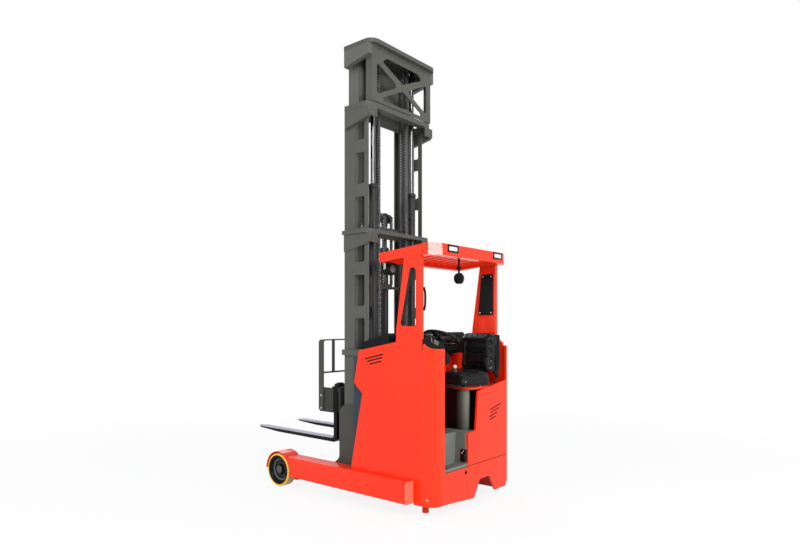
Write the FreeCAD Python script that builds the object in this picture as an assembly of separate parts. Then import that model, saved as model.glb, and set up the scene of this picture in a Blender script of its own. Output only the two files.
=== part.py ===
import FreeCAD, Part
import math
import os

# Reach truck with a three-stage mast. Millimetres. +X points to the forks,
# +Y to the truck's left, +Z up. The origin is on the floor, below the middle
# of the truck's box.

Vector = FreeCAD.Vector

# ---------------------------------------------------------------- driving sizes
rear_x = -1255.0
fork_tip_x = 1255.0
body_half_width = 550.0
right_half_width = 635.0
truck_half_width = 635.0
panel_wall = 25.0
sheet = 15.0
touch_gap = 0.3
running_fit = 0.05
clear = 5.0

# load wheels and support legs
load_axle_x = 527.0
load_wheel_r = 155.0
load_wheel_w = 100.0
load_tyre_wall = 17.0
load_axle_r = 25.0
fender_gap = 12.0
fender_wall = 8.0
leg_inner_y = 470.0
leg_bottom = 115.0
leg_top = 290.0
leg_rear_x = -1055.0
leg_bevel = 26.0
channel_depth = 40.0
channel_half_h = 50.0
channel_mid_z = 215.0
channel_rear_x = -475.0
channel_front_x = 480.0

# body shell
body_front_x = -358.0
panel_notch = (-493.0, 952.0)
panel_nose = (-397.0, 1039.0)
panel_shoulder = (-452.0, 1321.0)
pillar_front_x = -870.0
pillar_rear_x = -1125.0
panel_top_front = 1402.0
panel_top_rear = 1430.0
corner_top = 1350.0
corner_dip_r = 130.0
left_corner_r = 105.0
right_corner_r = 60.0
skirt_bottom = 100.0
skirt_low = 64.0
skirt_notch_top = 210.0
skirt_top = 350.0
panel_seam = 5.0
rear_wall = 20.0
entry_left_y = 400.0
entry_right_low_y = 60.0
entry_right_high_y = -65.0
step_z = 370.0
floor_z = 630.0
step_depth = 119.0
rear_panel_top = 970.0
rear_panel_outer_top = 1036.0

# battery, bulkhead and hood
bulkhead_gap = 10.0
bay_front_x = -485.0
tray_top = 290.0
tray_wall = 25.0
battery_half_w = 500.0
battery_right_w = 585.0
cheek_front_x = -345.0
cheek_wall = 30.0
battery_top = 1270.0
hood_front_top = 1395.0
hood_rear_top = 1480.0

# drive unit
drive_x = -980.0
drive_y = -210.0
drive_wheel_r = 170.0
drive_wheel_w = 105.0
drive_tyre_wall = 35.0
drive_axle_r = 22.0
machine_plate_z = 500.0
machine_plate_wall = 20.0
turntable_r = 92.0
motor_r = 105.0
motor_top = 860.0

# seat and controls
seat_base_top = 985.0
seat_deck_wall = 15.0
seat_pan_wall = 20.0
seat_yaw = -12.0
seat_rear_x = -1046.6
seat_rear_y = -364.6
cushion_w = 405.0
cushion_rear_w = 420.0
cushion_d = 400.0
cushion_h = 120.0
back_w = 400.0
back_h = 365.0
back_bottom = 1110.0
back_thick = 85.0
back_lean = 3.0
pedestal_rear_x = -1180.0
pedestal_front_y = -40.0
pedestal_corner_r = 70.0
pedestal_wall = 16.0
wheel_centre = (-1060.0, 175.0, 1430.0)
wheel_rim_r = 147.0
wheel_grip_r = 13.0
wheel_tilt = 25.0

# overhead guard
pillar_wall = 40.0
guard_rear_top = 2200.0
guard_rear_bottom = 2100.0
guard_front_x = -690.0
guard_front_bottom = 2065.0
guard_front_top = 2142.0
guard_beam_w = 70.0
guard_cut_x = 55.0
guard_cut_y = 118.0
slat_count = 9
slat_w = 22.0
slat_h = 34.0

# mast rails: three C-sections side by side, each one step further inboard
rail_rear_x = -287.0
rail_depth = 125.0
rail_width = 50.0
rail_web = 12.0
rail_flange = 14.0
outer_rail_y = 430.0
rail_bottom = 100.0
outer_top = 3508.0
outer_plate_wall = 45.0
middle_top = 4045.0
cap_wall = 35.0
rear_post_x = -450.0
rear_post_right_x = -392.0
rear_post_depth = 42.0
rear_beam_wall = 34.0
window_h = 278.0
window_bottoms = (1324.0, 1710.0, 2102.0, 2406.0, 2798.0, 3190.0)
window_rim = 14.0
ladder_wall = 12.0
bracket_half_w = 454.0
head_half_w = 433.0
cap_half_w = 475.0
top_plate_half_w = 468.0
plate_front_x = -198.0
bracket_rear_x = -473.0
top_bracket_rear_x = -491.0
cap_rear_x = -543.0
brace_rear_x = -497.0
brace_flange = 75.0
brace_waist_y = 62.0
brace_apex_up = 22.0
brace_apex_down = 42.0
brace_foot = 32.0
mid_bracket_z = 2392.0
collar_z = 1318.0
collar_wall = 50.0
return_h = 82.0
return_w = 117.0
gusset_wall = 10.0
gusset_front = 155.0
gusset_rear = 95.0
roller_fit = 0.5
lift_cylinder_y = 280.0
lift_barrel_gap = 51.0
lift_barrel_r = 37.0
lift_rod_r = 23.0
lift_barrel_top = 2815.0
free_cylinder_y = -55.0
free_barrel_r = 38.0
free_rod_r = 24.0
free_barrel_top = 2282.0
free_drop = 190.0
inner_bar_wall = 9.0
clamp_bar_z = 1880.0
clamp_bar_h = 25.0
middle_bar_h = 110.0
middle_bars_z = (2350.0, 3400.0)
crosshead_bottom = 2482.0
crosshead_top = 2632.0
chain_wheel_offset = 51.5
chain_wheel_w = 26.0
chain_wheel_r = 36.0

# reach carriage
reach_plate_wall = 26.0
reach_plate_top = 810.0
reach_roller_r = 49.5
reach_rollers_x = (-400.0, -100.0)
reach_cylinder_y = 150.0
reach_cylinder_z = 215.0
reach_barrel_r = 38.0
reach_rod_r = 22.0

# fork carriage, backrest and forks
carriage_bottom = 490.0
carriage_top = 950.0
tilt_pin_z = 905.0
tilt_pin_r = 18.0
tilt_lug_half = 150.0
tilt_rod_z = 610.0
tilt_rod_r = 16.0
eye_pin_r = 10.0
eye_play = 3.0
tilt_plate_wall = 25.0
shift_rail_wall = 21.0
shift_rail_h = 44.0
shift_pad_half_w = 280.0
shift_pad_wall = 5.0
fork_plate_wall = 20.0
fork_bar_bottom = 720.0
fork_bar_half_w = 400.0
fork_y = 270.0
fork_w = 100.0
fork_wall = 40.0
fork_blade_bottom = 428.0
fork_blade_wall = 37.0
backrest_top = 1403.0
backrest_bottom = 736.0
backrest_depth = 60.0
backrest_wall = 12.0
backrest_rail_z = 1093.0
backrest_inner_y = 250.0
backrest_post_depth = 30.0


# ---------------------------------------------------------------- places that follow
rail_front_x = rail_rear_x + rail_depth
rail_mid_x = rail_rear_x + rail_depth / 2
roller_r = rail_depth / 2 - rail_flange - roller_fit
lift_cylinder_x = rail_rear_x - lift_barrel_gap - lift_barrel_r
free_cylinder_x = rail_mid_x + 2.5
carriage_front_x = rail_front_x + 37
tilt_pin_x = carriage_front_x + 60
tilt_eye_x = tilt_pin_x + 13
tilt_plate_front_x = carriage_front_x + 130
tilt_plate_rear_x = tilt_plate_front_x - tilt_plate_wall
shift_rail_front_x = tilt_plate_front_x + shift_rail_wall
fork_shank_front_x = tilt_plate_front_x + shift_rail_wall + shift_pad_wall + fork_plate_wall + fork_wall
backrest_rear_x = tilt_plate_front_x + 147
yaw = math.radians(seat_yaw)
seat_corner_x = seat_rear_x + cushion_w / 2 * math.cos(yaw) - cushion_d * math.sin(yaw)
bay_rear_x = seat_corner_x + bulkhead_gap


# ---------------------------------------------------------------- shape helpers
def box(x0, x1, y0, y1, z0, z1):
    """A box between two corners, given in any order."""
    low = Vector(min(x0, x1), min(y0, y1), min(z0, z1))
    return Part.makeBox(abs(x1 - x0), abs(y1 - y0), abs(z1 - z0), low)


def cylinder(start, direction, radius, length):
    """A cylinder from a start point along a direction."""
    return Part.makeCylinder(radius, length, Vector(*start), Vector(*direction))


def tube(start, direction, radius, bore, length):
    """A cylinder with a hole along it."""
    outside = cylinder(start, direction, radius, length)
    return outside.cut(cylinder(start, direction, bore, length))


def outline(points, place):
    """A closed wire through (u, v) points; a third number rounds that corner."""
    arcs = []
    count = len(points)
    for i, point in enumerate(points):
        here = Vector(point[0], point[1], 0)
        radius = point[2] if len(point) > 2 else 0.0
        if radius <= 0:
            arcs.append((here, None, here))
            continue
        back = Vector(*points[i - 1][:2], 0) - here
        ahead = Vector(*points[(i + 1) % count][:2], 0) - here
        back.normalize()
        ahead.normalize()
        half = back.getAngle(ahead) / 2
        reach = radius / math.tan(half)
        bisector = back + ahead
        bisector.normalize()
        centre = here + bisector * (radius / math.sin(half))
        middle = centre - bisector * radius
        arcs.append((here + back * reach, middle, here + ahead * reach))
    edges = []
    for i, (first, middle, last) in enumerate(arcs):
        if middle is not None:
            edges.append(Part.Arc(place(first), place(middle), place(last)).toShape())
        following = arcs[(i + 1) % count][0]
        if last.distanceToPoint(following) > 1e-6:
            edges.append(Part.LineSegment(place(last), place(following)).toShape())
    return Part.Wire(edges)


def prism_y(points, y0, y1):
    """An outline in X and Z, swept along Y."""
    wire = outline(points, lambda p: Vector(p.x, min(y0, y1), p.y))
    return Part.Face(wire).extrude(Vector(0, abs(y1 - y0), 0))


def prism_x(points, x0, x1):
    """An outline in Y and Z, swept along X."""
    wire = outline(points, lambda p: Vector(min(x0, x1), p.x, p.y))
    return Part.Face(wire).extrude(Vector(abs(x1 - x0), 0, 0))


def prism_z(points, z0, z1):
    """An outline in X and Y, swept along Z."""
    wire = outline(points, lambda p: Vector(p.x, p.y, min(z0, z1)))
    return Part.Face(wire).extrude(Vector(0, 0, abs(z1 - z0)))


def turned(points, centre, direction):
    """A profile of (radius, height) pairs turned round an axis."""
    wire = outline(points, lambda p: Vector(p.x, 0, p.y))
    solid = Part.Face(wire).revolve(Vector(0, 0, 0), Vector(0, 0, 1), 360)
    turn = FreeCAD.Rotation(Vector(0, 0, 1), Vector(*direction))
    solid.Placement = FreeCAD.Placement(Vector(*centre), turn)
    return solid


def joined(shapes):
    """One solid made of shapes that touch or overlap."""
    result = shapes[0]
    if len(shapes) > 1:
        result = result.fuse(shapes[1:])
    return result.removeSplitter()


def mirrored(shape):
    """The shape on the truck's other side."""
    return shape.mirror(Vector(0, 0, 0), Vector(0, 1, 0))


def turned_z(shape, degrees, x, y):
    """The shape turned about an upright line."""
    copy = shape.copy()
    copy.rotate(Vector(x, y, 0), Vector(0, 0, 1), degrees)
    return copy


parts = {}


def keep(name, shape):
    """Adds a node; several loose solids are kept together as a compound."""
    solids = shape.Solids
    parts[name] = solids[0] if len(solids) == 1 else Part.makeCompound(solids)


# ---------------------------------------------------------------- legs and wheels
wheel_outer_y = truck_half_width
wheel_inner_y = wheel_outer_y - load_wheel_w
fender_in_r = load_wheel_r + fender_gap
fender_out_r = fender_in_r + fender_wall
nose_outer_y = wheel_inner_y - 2 * clear
nose_front_x = load_axle_x + fender_out_r


def load_leg():
    """Left support leg: beam, roller channel, wheel plate, fender and axle."""
    section = [
        (leg_inner_y, leg_bottom),
        (truck_half_width, leg_bottom),
        (truck_half_width, leg_top - leg_bevel),
        (truck_half_width - leg_bevel, leg_top),
        (leg_inner_y, leg_top),
    ]
    beam = prism_x(section, leg_rear_x, load_axle_x)
    wheel_space = cylinder(
        (load_axle_x, nose_outer_y, load_wheel_r), (0, 1, 0), fender_out_r, load_wheel_w + 50
    )
    beam = beam.cut(wheel_space)
    beam = beam.cut(box(load_axle_x - fender_in_r, nose_front_x, nose_outer_y, 700, 0, 150))
    plate = cylinder(
        (load_axle_x, leg_inner_y, load_wheel_r), (0, 1, 0), fender_out_r,
        nose_outer_y - leg_inner_y,
    )
    low = box(0, nose_front_x, leg_inner_y, nose_outer_y, -100, 60)
    plate = plate.cut(low)
    arch = tube(
        (load_axle_x, nose_outer_y - 1, load_wheel_r), (0, 1, 0), fender_out_r, fender_in_r,
        truck_half_width - nose_outer_y + 1,
    )
    arch = arch.cut(
        box(0, nose_front_x + 10, leg_inner_y, 700, -100, load_wheel_r)
    )
    axle = cylinder(
        (load_axle_x, nose_outer_y - 5, load_wheel_r), (0, 1, 0), load_axle_r,
        truck_half_width - nose_outer_y - 10,
    )
    collar = cylinder(
        (load_axle_x, nose_outer_y - 5, load_wheel_r), (0, 1, 0), load_axle_r + 14, 10
    )
    leg = joined([beam, plate, arch, collar, axle])
    channel = box(
        channel_rear_x, channel_front_x, leg_inner_y, leg_inner_y + channel_depth,
        channel_mid_z - channel_half_h, channel_mid_z + channel_half_h,
    )
    return leg.cut(channel)


def load_tyre():
    """Left load wheel tyre, a band with rounded shoulders."""
    inner = load_wheel_r - load_tyre_wall
    profile = [
        (inner, 0),
        (load_wheel_r, 0, 9),
        (load_wheel_r, load_wheel_w, 9),
        (inner, load_wheel_w),
    ]
    return turned(profile, (load_axle_x, wheel_inner_y, load_wheel_r), (0, 1, 0))


def load_rim():
    """Left load wheel rim: a dished disc with a hub on the axle."""
    outer = load_wheel_r - load_tyre_wall
    bore = load_axle_r + running_fit
    profile = [
        (bore, 4),
        (outer, 4),
        (outer, load_wheel_w - 2),
        (outer - 14, load_wheel_w - 2),
        (outer - 24, load_wheel_w - 34, 8),
        (56, load_wheel_w - 40, 8),
        (50, load_wheel_w - 16, 4),
        (bore, load_wheel_w - 16),
    ]
    return turned(profile, (load_axle_x, wheel_inner_y, load_wheel_r), (0, 1, 0))


left_leg = load_leg()
keep("left_leg", left_leg)
keep("right_leg", mirrored(left_leg))
left_tyre = load_tyre()
left_rim = load_rim()
keep("left_load_tyre", left_tyre)
keep("left_load_rim", left_rim)
keep("right_load_tyre", mirrored(left_tyre))
keep("right_load_rim", mirrored(left_rim))


# ---------------------------------------------------------------- chassis frame
inner_half = body_half_width - panel_wall
right_inner_half = right_half_width - panel_wall
foot_x = -1085.0
foot_y = 430.0
foot_r = 27.0
foot_bottom = 18.0
pan_z = 102.0


def chassis_frame():
    """Battery tray, bulkhead, drive plate, floor pan and the reach cylinder."""
    tray = box(bay_rear_x, bay_front_x, -leg_inner_y, leg_inner_y, tray_top - tray_wall, tray_top)
    bulkhead = box(
        bay_rear_x - sheet, bay_rear_x, -right_inner_half, inner_half, tray_top, battery_top
    )
    low_wall = box(
        bay_rear_x - sheet, bay_rear_x, -leg_inner_y, leg_inner_y, leg_bottom, tray_top
    )
    plate_rear_x = rear_x + right_corner_r + clear
    plate_front_x = bay_rear_x - sheet
    plate = box(
        plate_rear_x, plate_front_x, -right_inner_half, 35,
        machine_plate_z, machine_plate_z + machine_plate_wall,
    )
    plate = plate.cut(
        cylinder((drive_x, drive_y, 400), (0, 0, 1), turntable_r + touch_gap, 200)
    )
    pan_rear_x = rear_x + panel_wall + 1
    pan_plan = [
        (pan_rear_x, 20),
        (plate_front_x, 20),
        (plate_front_x, leg_inner_y),
        (rear_x + left_corner_r, leg_inner_y),
        (pan_rear_x, body_half_width - left_corner_r - 5),
    ]
    pan = prism_z(pan_plan, pan_z, pan_z + sheet)
    foot = cylinder((foot_x, foot_y, foot_bottom), (0, 0, 1), foot_r, pan_z - foot_bottom)
    spine = box(plate_rear_x, plate_front_x, 20, 35, pan_z, machine_plate_z + 1)
    barrel_start = bay_front_x - 600
    barrel = cylinder(
        (barrel_start, reach_cylinder_y, reach_cylinder_z), (1, 0, 0), reach_barrel_r, 600
    )
    barrel_foot = box(
        bay_rear_x - 40, bay_rear_x - sheet, reach_cylinder_y - 60, reach_cylinder_y + 60,
        150, tray_top - tray_wall,
    )
    rear_foot = box(
        barrel_start, barrel_start + 20, reach_cylinder_y - 30, reach_cylinder_y + 30,
        100, reach_cylinder_z,
    )
    hanger = box(
        bay_front_x - 40, bay_front_x - 10, reach_cylinder_y - 50, reach_cylinder_y + 50,
        reach_cylinder_z, tray_top - tray_wall + 1,
    )
    frame = joined([
        tray, bulkhead, low_wall, plate, pan, foot, spine, barrel, barrel_foot,
        rear_foot, hanger,
    ])
    bore = cylinder(
        (barrel_start + 15, reach_cylinder_y, reach_cylinder_z), (1, 0, 0),
        reach_rod_r + running_fit, 600,
    )
    return frame.cut(bore)


keep("chassis_frame", chassis_frame())


def battery():
    """Battery block with a cheek plate in front of it on each side."""
    pieces = [box(bay_rear_x, bay_front_x, -battery_right_w, battery_half_w, tray_top, battery_top)]
    for side in (1, -1):
        pieces.append(box(
            bay_front_x - 1, cheek_front_x, side * (battery_half_w - cheek_wall),
            side * battery_half_w, tray_top, battery_top,
        ))
    return joined(pieces)


keep("battery", battery())


# ---------------------------------------------------------------- body shell
def side_outline(rear_end):
    """Side panel seen from the side, from its front foot round to its rear end."""
    return [
        (body_front_x, leg_top),
        (panel_notch[0], panel_notch[1], 12),
        (panel_nose[0], panel_nose[1], 14),
        (panel_shoulder[0], panel_shoulder[1], 40),
        (pillar_front_x, panel_top_front),
        (pillar_rear_x, panel_top_rear),
        (rear_end, panel_top_rear),
        (rear_end, skirt_bottom),
        (leg_rear_x, skirt_bottom),
        (leg_rear_x, leg_top),
    ]


louvre_lines = (
    ((-525.0, 1245.0), (-732.0, 1291.0)),
    ((-550.0, 1224.0), (-724.0, 1264.0)),
    ((-575.0, 1200.0), (-710.0, 1232.0)),
)
louvre_h = 12.0
louvre_deep = 14.0


def louvred(panel, outer_y):
    """Cuts the three slanted louvres into a left-hand side panel."""
    for (x0, z0), (x1, z1) in louvre_lines:
        slot = [
            (x0, z0),
            (x1, z1),
            (x1, z1 + louvre_h),
            (x0, z0 + louvre_h),
        ]
        panel = panel.cut(prism_y(slot, outer_y - louvre_deep, outer_y + 5))
    return panel


def side_panel():
    """Left side panel, from its front foot to the rear corner column."""
    wall = prism_y(side_outline(pillar_rear_x), inner_half, body_half_width)
    return louvred(wall, body_half_width)


def corner_band(radius, half_w, z0, z1):
    """A quarter of an upright tube at a left rear corner."""
    centre_x = rear_x + radius
    centre_y = half_w - radius
    ring = tube(
        (centre_x, centre_y, z0), (0, 0, 1), radius, radius - panel_wall, z1 - z0
    )
    return ring.common(box(rear_x, centre_x, centre_y, half_w, z0, z1))


def left_corner():
    """Rear left corner column with the dip in its top edge."""
    band = corner_band(left_corner_r, body_half_width, skirt_bottom, panel_top_rear)
    flat = box(
        rear_x, rear_x + panel_wall, entry_left_y, body_half_width - left_corner_r,
        skirt_bottom, panel_top_rear,
    )
    rise = corner_dip_r - (panel_top_rear - corner_top)
    dip_x = pillar_rear_x - math.sqrt(corner_dip_r ** 2 - rise ** 2)
    hollow = cylinder((dip_x, 0, corner_top + corner_dip_r), (0, 1, 0), corner_dip_r, 700)
    level = box(rear_x - 5, dip_x, 300, 700, corner_top, panel_top_rear + 5)
    return joined([band, flat]).cut(hollow).cut(level)


rear_louvres = (
    ((-288.0, 782.0), (-480.0, 823.0)),
    ((-306.0, 757.0), (-449.0, 788.0)),
    ((-282.0, 723.0), (-417.0, 752.0)),
    ((-282.0, 698.0), (-392.0, 716.0)),
)


def rear_panel():
    """Rear wall right of the entry, with the rounded corner strip."""
    edge_y = right_corner_r - right_half_width
    profile = [
        (entry_right_low_y, skirt_top + panel_seam),
        (entry_right_low_y, floor_z, 12),
        (entry_right_high_y + 4, floor_z + 8, 12),
        (entry_right_high_y - 30, rear_panel_top, 30),
        (edge_y, rear_panel_outer_top),
        (edge_y, skirt_top + panel_seam),
    ]
    wall = prism_x(profile, rear_x, rear_x + rear_wall)
    for (y0, z0), (y1, z1) in rear_louvres:
        slot = [(y0, z0), (y1, z1), (y1, z1 + louvre_h), (y0, z0 + louvre_h)]
        wall = wall.cut(prism_x(slot, rear_x - 5, rear_x + louvre_deep))
    corner = mirrored(corner_band(right_corner_r, right_half_width, skirt_bottom, corner_top))
    return joined([wall, corner])


def rear_skirt():
    """Lower rear wall with the notch that clears the drive wheel."""
    right_end = right_corner_r - right_half_width
    profile = [
        (entry_left_y, skirt_bottom),
        (-33, skirt_low),
        (-124, skirt_notch_top, 15),
        (-282, skirt_notch_top, 15),
        (-380, skirt_low),
        (right_end + 10, skirt_low),
        (right_end, skirt_bottom),
        (right_end, skirt_top),
        (entry_left_y, skirt_top),
    ]
    return prism_x(profile, rear_x, rear_x + rear_wall)


def right_side_panel():
    """Right side panel, the mirror of the left one but longer."""
    rear_end = rear_x + right_corner_r
    points = side_outline(rear_end)
    points[6] = (rear_end, corner_top + 20)
    wall = prism_y(points, right_inner_half, right_half_width)
    return mirrored(louvred(wall, right_half_width))


def front_hood():
    """Dark cover over the battery, between the side panels."""
    profile = [
        (bay_front_x, battery_top),
        (bay_front_x, hood_front_top, 25),
        (bay_rear_x - sheet, hood_rear_top, 25),
        (bay_rear_x - sheet, battery_top),
    ]
    return prism_y(profile, -right_inner_half, inner_half)


keep("left_side_panel", side_panel())
keep("right_side_panel", right_side_panel())
keep("rear_left_corner", left_corner())
keep("rear_panel", rear_panel())
keep("rear_skirt", rear_skirt())
keep("front_hood", front_hood())


# ---------------------------------------------------------------- floor and seat
recess_back_x = rear_x + step_depth


def step_floor():
    """Step tub let into the rear, and the floor above it with its curved edge."""
    tub = box(rear_x + rear_wall, recess_back_x, entry_right_low_y, entry_left_y, step_z - sheet, step_z)
    back = box(
        recess_back_x - 1, recess_back_x + sheet, entry_right_low_y, entry_left_y,
        step_z - sheet, floor_z,
    )
    side = box(
        rear_x + rear_wall, recess_back_x, entry_right_low_y, entry_right_low_y + sheet,
        step_z - sheet, floor_z,
    )
    other = box(
        rear_x + panel_wall, recess_back_x, entry_left_y - sheet, entry_left_y,
        step_z - sheet, floor_z,
    )
    floor_plan = [
        (bay_rear_x - sheet, pedestal_front_y),
        (bay_rear_x - sheet, inner_half),
        (recess_back_x, inner_half),
        (recess_back_x, entry_right_low_y),
        (rear_x + rear_wall, entry_right_low_y),
        (rear_x + rear_wall, pedestal_front_y - pedestal_corner_r),
        (pedestal_rear_x, pedestal_front_y - pedestal_corner_r),
        (pedestal_rear_x, pedestal_front_y, pedestal_corner_r),
    ]
    floor = prism_z(floor_plan, floor_z - sheet, floor_z)
    return joined([tub, back, side, other, floor])


def pedestal_plan(inset):
    """Outline of the seat's pedestal, moved inwards by a wall."""
    x0 = pedestal_rear_x + inset
    x1 = bay_rear_x - sheet - inset
    return [
        (x0, -right_inner_half + inset),
        (x1, -right_inner_half + inset),
        (x1, pedestal_front_y - inset),
        (x0, pedestal_front_y - inset, pedestal_corner_r - inset),
    ]


def seat_base():
    """Hollow pedestal under the seat, with one large rounded corner."""
    bottom = machine_plate_z + machine_plate_wall
    outside = prism_z(pedestal_plan(0), bottom, seat_base_top)
    inside = prism_z(
        pedestal_plan(pedestal_wall), bottom, seat_base_top - pedestal_wall
    )
    return outside.cut(inside)


def seat_deck():
    """Plate on the pedestal that closes the rear wall's top."""
    plan = [
        (rear_x + rear_wall, -right_inner_half + 47),
        (rear_x + right_corner_r + clear, -right_inner_half),
        (bay_rear_x - sheet, -right_inner_half),
        (bay_rear_x - sheet, pedestal_front_y + 15),
        (rear_x + rear_wall, pedestal_front_y + 15, 60),
    ]
    return prism_z(plan, seat_base_top, seat_base_top + seat_deck_wall)


seat_foot_z = seat_base_top + seat_deck_wall


def on_seat(shape):
    """Moves a piece drawn about the seat's middle, facing +Y, to its place."""
    shape.translate(Vector(seat_rear_x, seat_rear_y + cushion_d / 2, 0))
    return turned_z(shape, seat_yaw, seat_rear_x, seat_rear_y)


def seat_frame():
    """Pan under the cushion and the stay that carries the backrest."""
    rear = -cushion_d / 2 + 8
    pan = box(-cushion_rear_w / 2 + 45, cushion_rear_w / 2 - 45, rear - 22, cushion_d / 2 - 40,
              seat_foot_z, seat_foot_z + seat_pan_wall)
    stay = box(-70, 70, rear - 22, rear - 6, seat_foot_z, back_bottom + clear - 1.2)
    return on_seat(joined([pan, stay]))


def seat_cushion():
    """Soft cushion, a closed block, wider at the front."""
    front = cushion_d / 2
    rear = -cushion_d / 2 + 8
    plan = [
        (-cushion_rear_w / 2, rear, 35),
        (cushion_rear_w / 2, rear, 35),
        (cushion_w / 2, front, 70),
        (-cushion_w / 2, front, 70),
    ]
    bottom = seat_foot_z + seat_pan_wall + touch_gap
    return on_seat(prism_z(plan, bottom, bottom + cushion_h))


def seat_backrest():
    """Soft backrest, a closed slab with rounded corners, leaning back."""
    half_w = back_w / 2
    front = [
        (-half_w + 15, 0, 30),
        (half_w - 15, 0, 30),
        (half_w, back_h, 60),
        (-half_w, back_h, 60),
    ]
    slab = prism_y(front, -back_thick, 0)
    slab.rotate(Vector(0, 0, 0), Vector(1, 0, 0), back_lean)
    slab.translate(Vector(0, -cushion_d / 2 + 4, back_bottom + clear))
    return on_seat(slab)


def wheel_axis():
    """Direction of the steering column, up and back towards the driver."""
    lean = math.radians(wheel_tilt)
    return Vector(0, -math.sin(lean), math.cos(lean))


def steering_wheel():
    """Rim, three spokes and a hub with a bore for the column."""
    rim = Part.makeTorus(wheel_rim_r, wheel_grip_r)
    hub = Part.makeCylinder(36, 34, Vector(0, 0, -26))
    pieces = [rim, hub]
    for angle in (90, 210, 330):
        spoke = box(20, wheel_rim_r, -14, 14, -7, 5)
        spoke.rotate(Vector(0, 0, 0), Vector(0, 0, 1), angle)
        pieces.append(spoke)
    wheel = joined(pieces)
    wheel = wheel.cut(Part.makeCylinder(12 + running_fit, 30, Vector(0, 0, -30)))
    turn = FreeCAD.Rotation(Vector(0, 0, 1), wheel_axis())
    wheel.Placement = FreeCAD.Placement(Vector(*wheel_centre), turn)
    return wheel


def steering_console():
    """Faceted console on the left wall, with the steering column on top."""
    profile = [
        (150.0, 1215.0, 20),
        (inner_half, 1150.0),
        (inner_half, 1400.0),
        (inner_half - 95, 1408.0, 20),
        (250.0, 1345.0, 20),
        (150.0, 1285.0, 20),
    ]
    block = prism_x(profile, -1130, bay_rear_x - sheet)
    axis = wheel_axis()
    top = Vector(*wheel_centre) - axis * 32
    column = Part.makeCylinder(30, 150, top, axis * -1)
    shaft = Part.makeCylinder(12, 40, top - axis * 10, axis)
    return joined([block, column, shaft])


def control_console():
    """Box of hydraulic levers at the driver's right hand."""
    profile = [
        (bay_rear_x - sheet - 30, 1240.0, 15),
        (bay_rear_x - sheet, 1240.0),
        (bay_rear_x - sheet, 1395.0),
        (bay_rear_x - sheet - 45, 1385.0, 15),
        (bay_rear_x - sheet - 95, 1335.0, 15),
        (bay_rear_x - sheet - 95, 1300.0, 15),
    ]
    return prism_y(profile, -340, 100)


keep("step_floor", step_floor())
keep("seat_base", seat_base())
keep("seat_deck", seat_deck())
keep("seat_frame", seat_frame())
keep("seat_cushion", seat_cushion())
keep("seat_backrest", seat_backrest())
keep("steering_wheel", steering_wheel())
keep("steering_console", steering_console())
keep("control_console", control_console())


# ---------------------------------------------------------------- pillars and guard
slot_outline = [
    (-915.0, 1532.0, 24),
    (-1018.0, 2005.0, 28),
    (-1077.0, 2005.0, 28),
    (-1077.0, 1532.0, 24),
]
covered_slot = [
    (-970.0, 1668.0, 20),
    (-1002.0, 1988.0, 20),
    (-1078.0, 1988.0, 20),
    (-1078.0, 1668.0, 20),
]
cover_outline = [
    (-943.0, 1633.0, 15),
    (-981.0, 2018.0, 15),
    (-1106.0, 2018.0, 15),
    (-1106.0, 1633.0, 15),
]
cover_wall = 8.0


def pillar():
    """Left pillar, tapering upwards, with its long slot."""
    profile = [
        (pillar_front_x, panel_top_front),
        (-875.0, 1510.0, 60),
        (-956.0, 2080.0),
        (-958.0, guard_rear_bottom - 10),
        (pillar_rear_x, guard_rear_bottom - 4),
        (pillar_rear_x, panel_top_rear),
    ]
    return prism_y(profile, body_half_width - pillar_wall, body_half_width)


def guard_height(x):
    """Height of the guard's top at a place along the truck."""
    share = (x - rear_x) / (guard_front_x - rear_x)
    return guard_rear_top + share * (guard_front_top - guard_rear_top)


def guard_side():
    """The guard seen from the side."""
    return [
        (rear_x, guard_rear_bottom),
        (rear_x, guard_rear_top, 12),
        (guard_front_x + 20, guard_front_top, 12),
        (guard_front_x, guard_front_bottom),
        (-958.0, guard_rear_bottom - 10),
        (pillar_rear_x, guard_rear_bottom - 4),
    ]


rear_light_spans = ((208.0, 358.0), (-495.0, -345.0))
rear_light_heights = (2133.0, 2189.0)
rear_light_deep = 18.0


def rear_lights():
    """Two flat lamps on the guard's rear beam."""
    lamps = []
    for y0, y1 in rear_light_spans:
        lamps.append(box(rear_x, rear_x + rear_light_deep, y0, y1, *rear_light_heights))
    return Part.makeCompound(lamps)


def guard_frame():
    """Ring of beams round the roof, with chamfered rear corners."""
    left = body_half_width
    right = right_half_width
    front = guard_front_x + 20
    plan = [
        (front, -right, 30),
        (front, left, 30),
        (rear_x + guard_cut_x, left),
        (rear_x, left - guard_cut_y),
        (rear_x, guard_cut_y - right),
        (rear_x + guard_cut_x, -right),
    ]
    b = guard_beam_w
    hole = [
        (front - b, b - right),
        (front - b, left - b),
        (rear_x + b + 5, left - b),
        (rear_x + b, left - b - 80),
        (rear_x + b, b + 80 - right),
        (rear_x + b + 5, b - right),
    ]
    ring = prism_z(plan, 2000, 2300).cut(prism_z(hole, 2000, 2300))
    return ring.common(prism_y(guard_side(), -right, left)).cut(rear_lights())


slat_span = body_half_width + right_half_width - 2 * guard_beam_w


def guard_slats():
    """Fore-and-aft bars between the front and rear beams."""
    front = guard_front_x + 20 - guard_beam_w
    back = rear_x + guard_beam_w
    bars = []
    for i in range(slat_count):
        y = guard_beam_w - right_half_width + slat_span * (i + 1) / (slat_count + 1)
        profile = [
            (back, guard_height(back) - 12 - slat_h),
            (back, guard_height(back) - 12),
            (front, guard_height(front) - 12),
            (front, guard_height(front) - 12 - slat_h),
        ]
        bars.append(prism_y(profile, y - slat_w / 2, y + slat_w / 2))
    return Part.makeCompound(bars)


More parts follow.
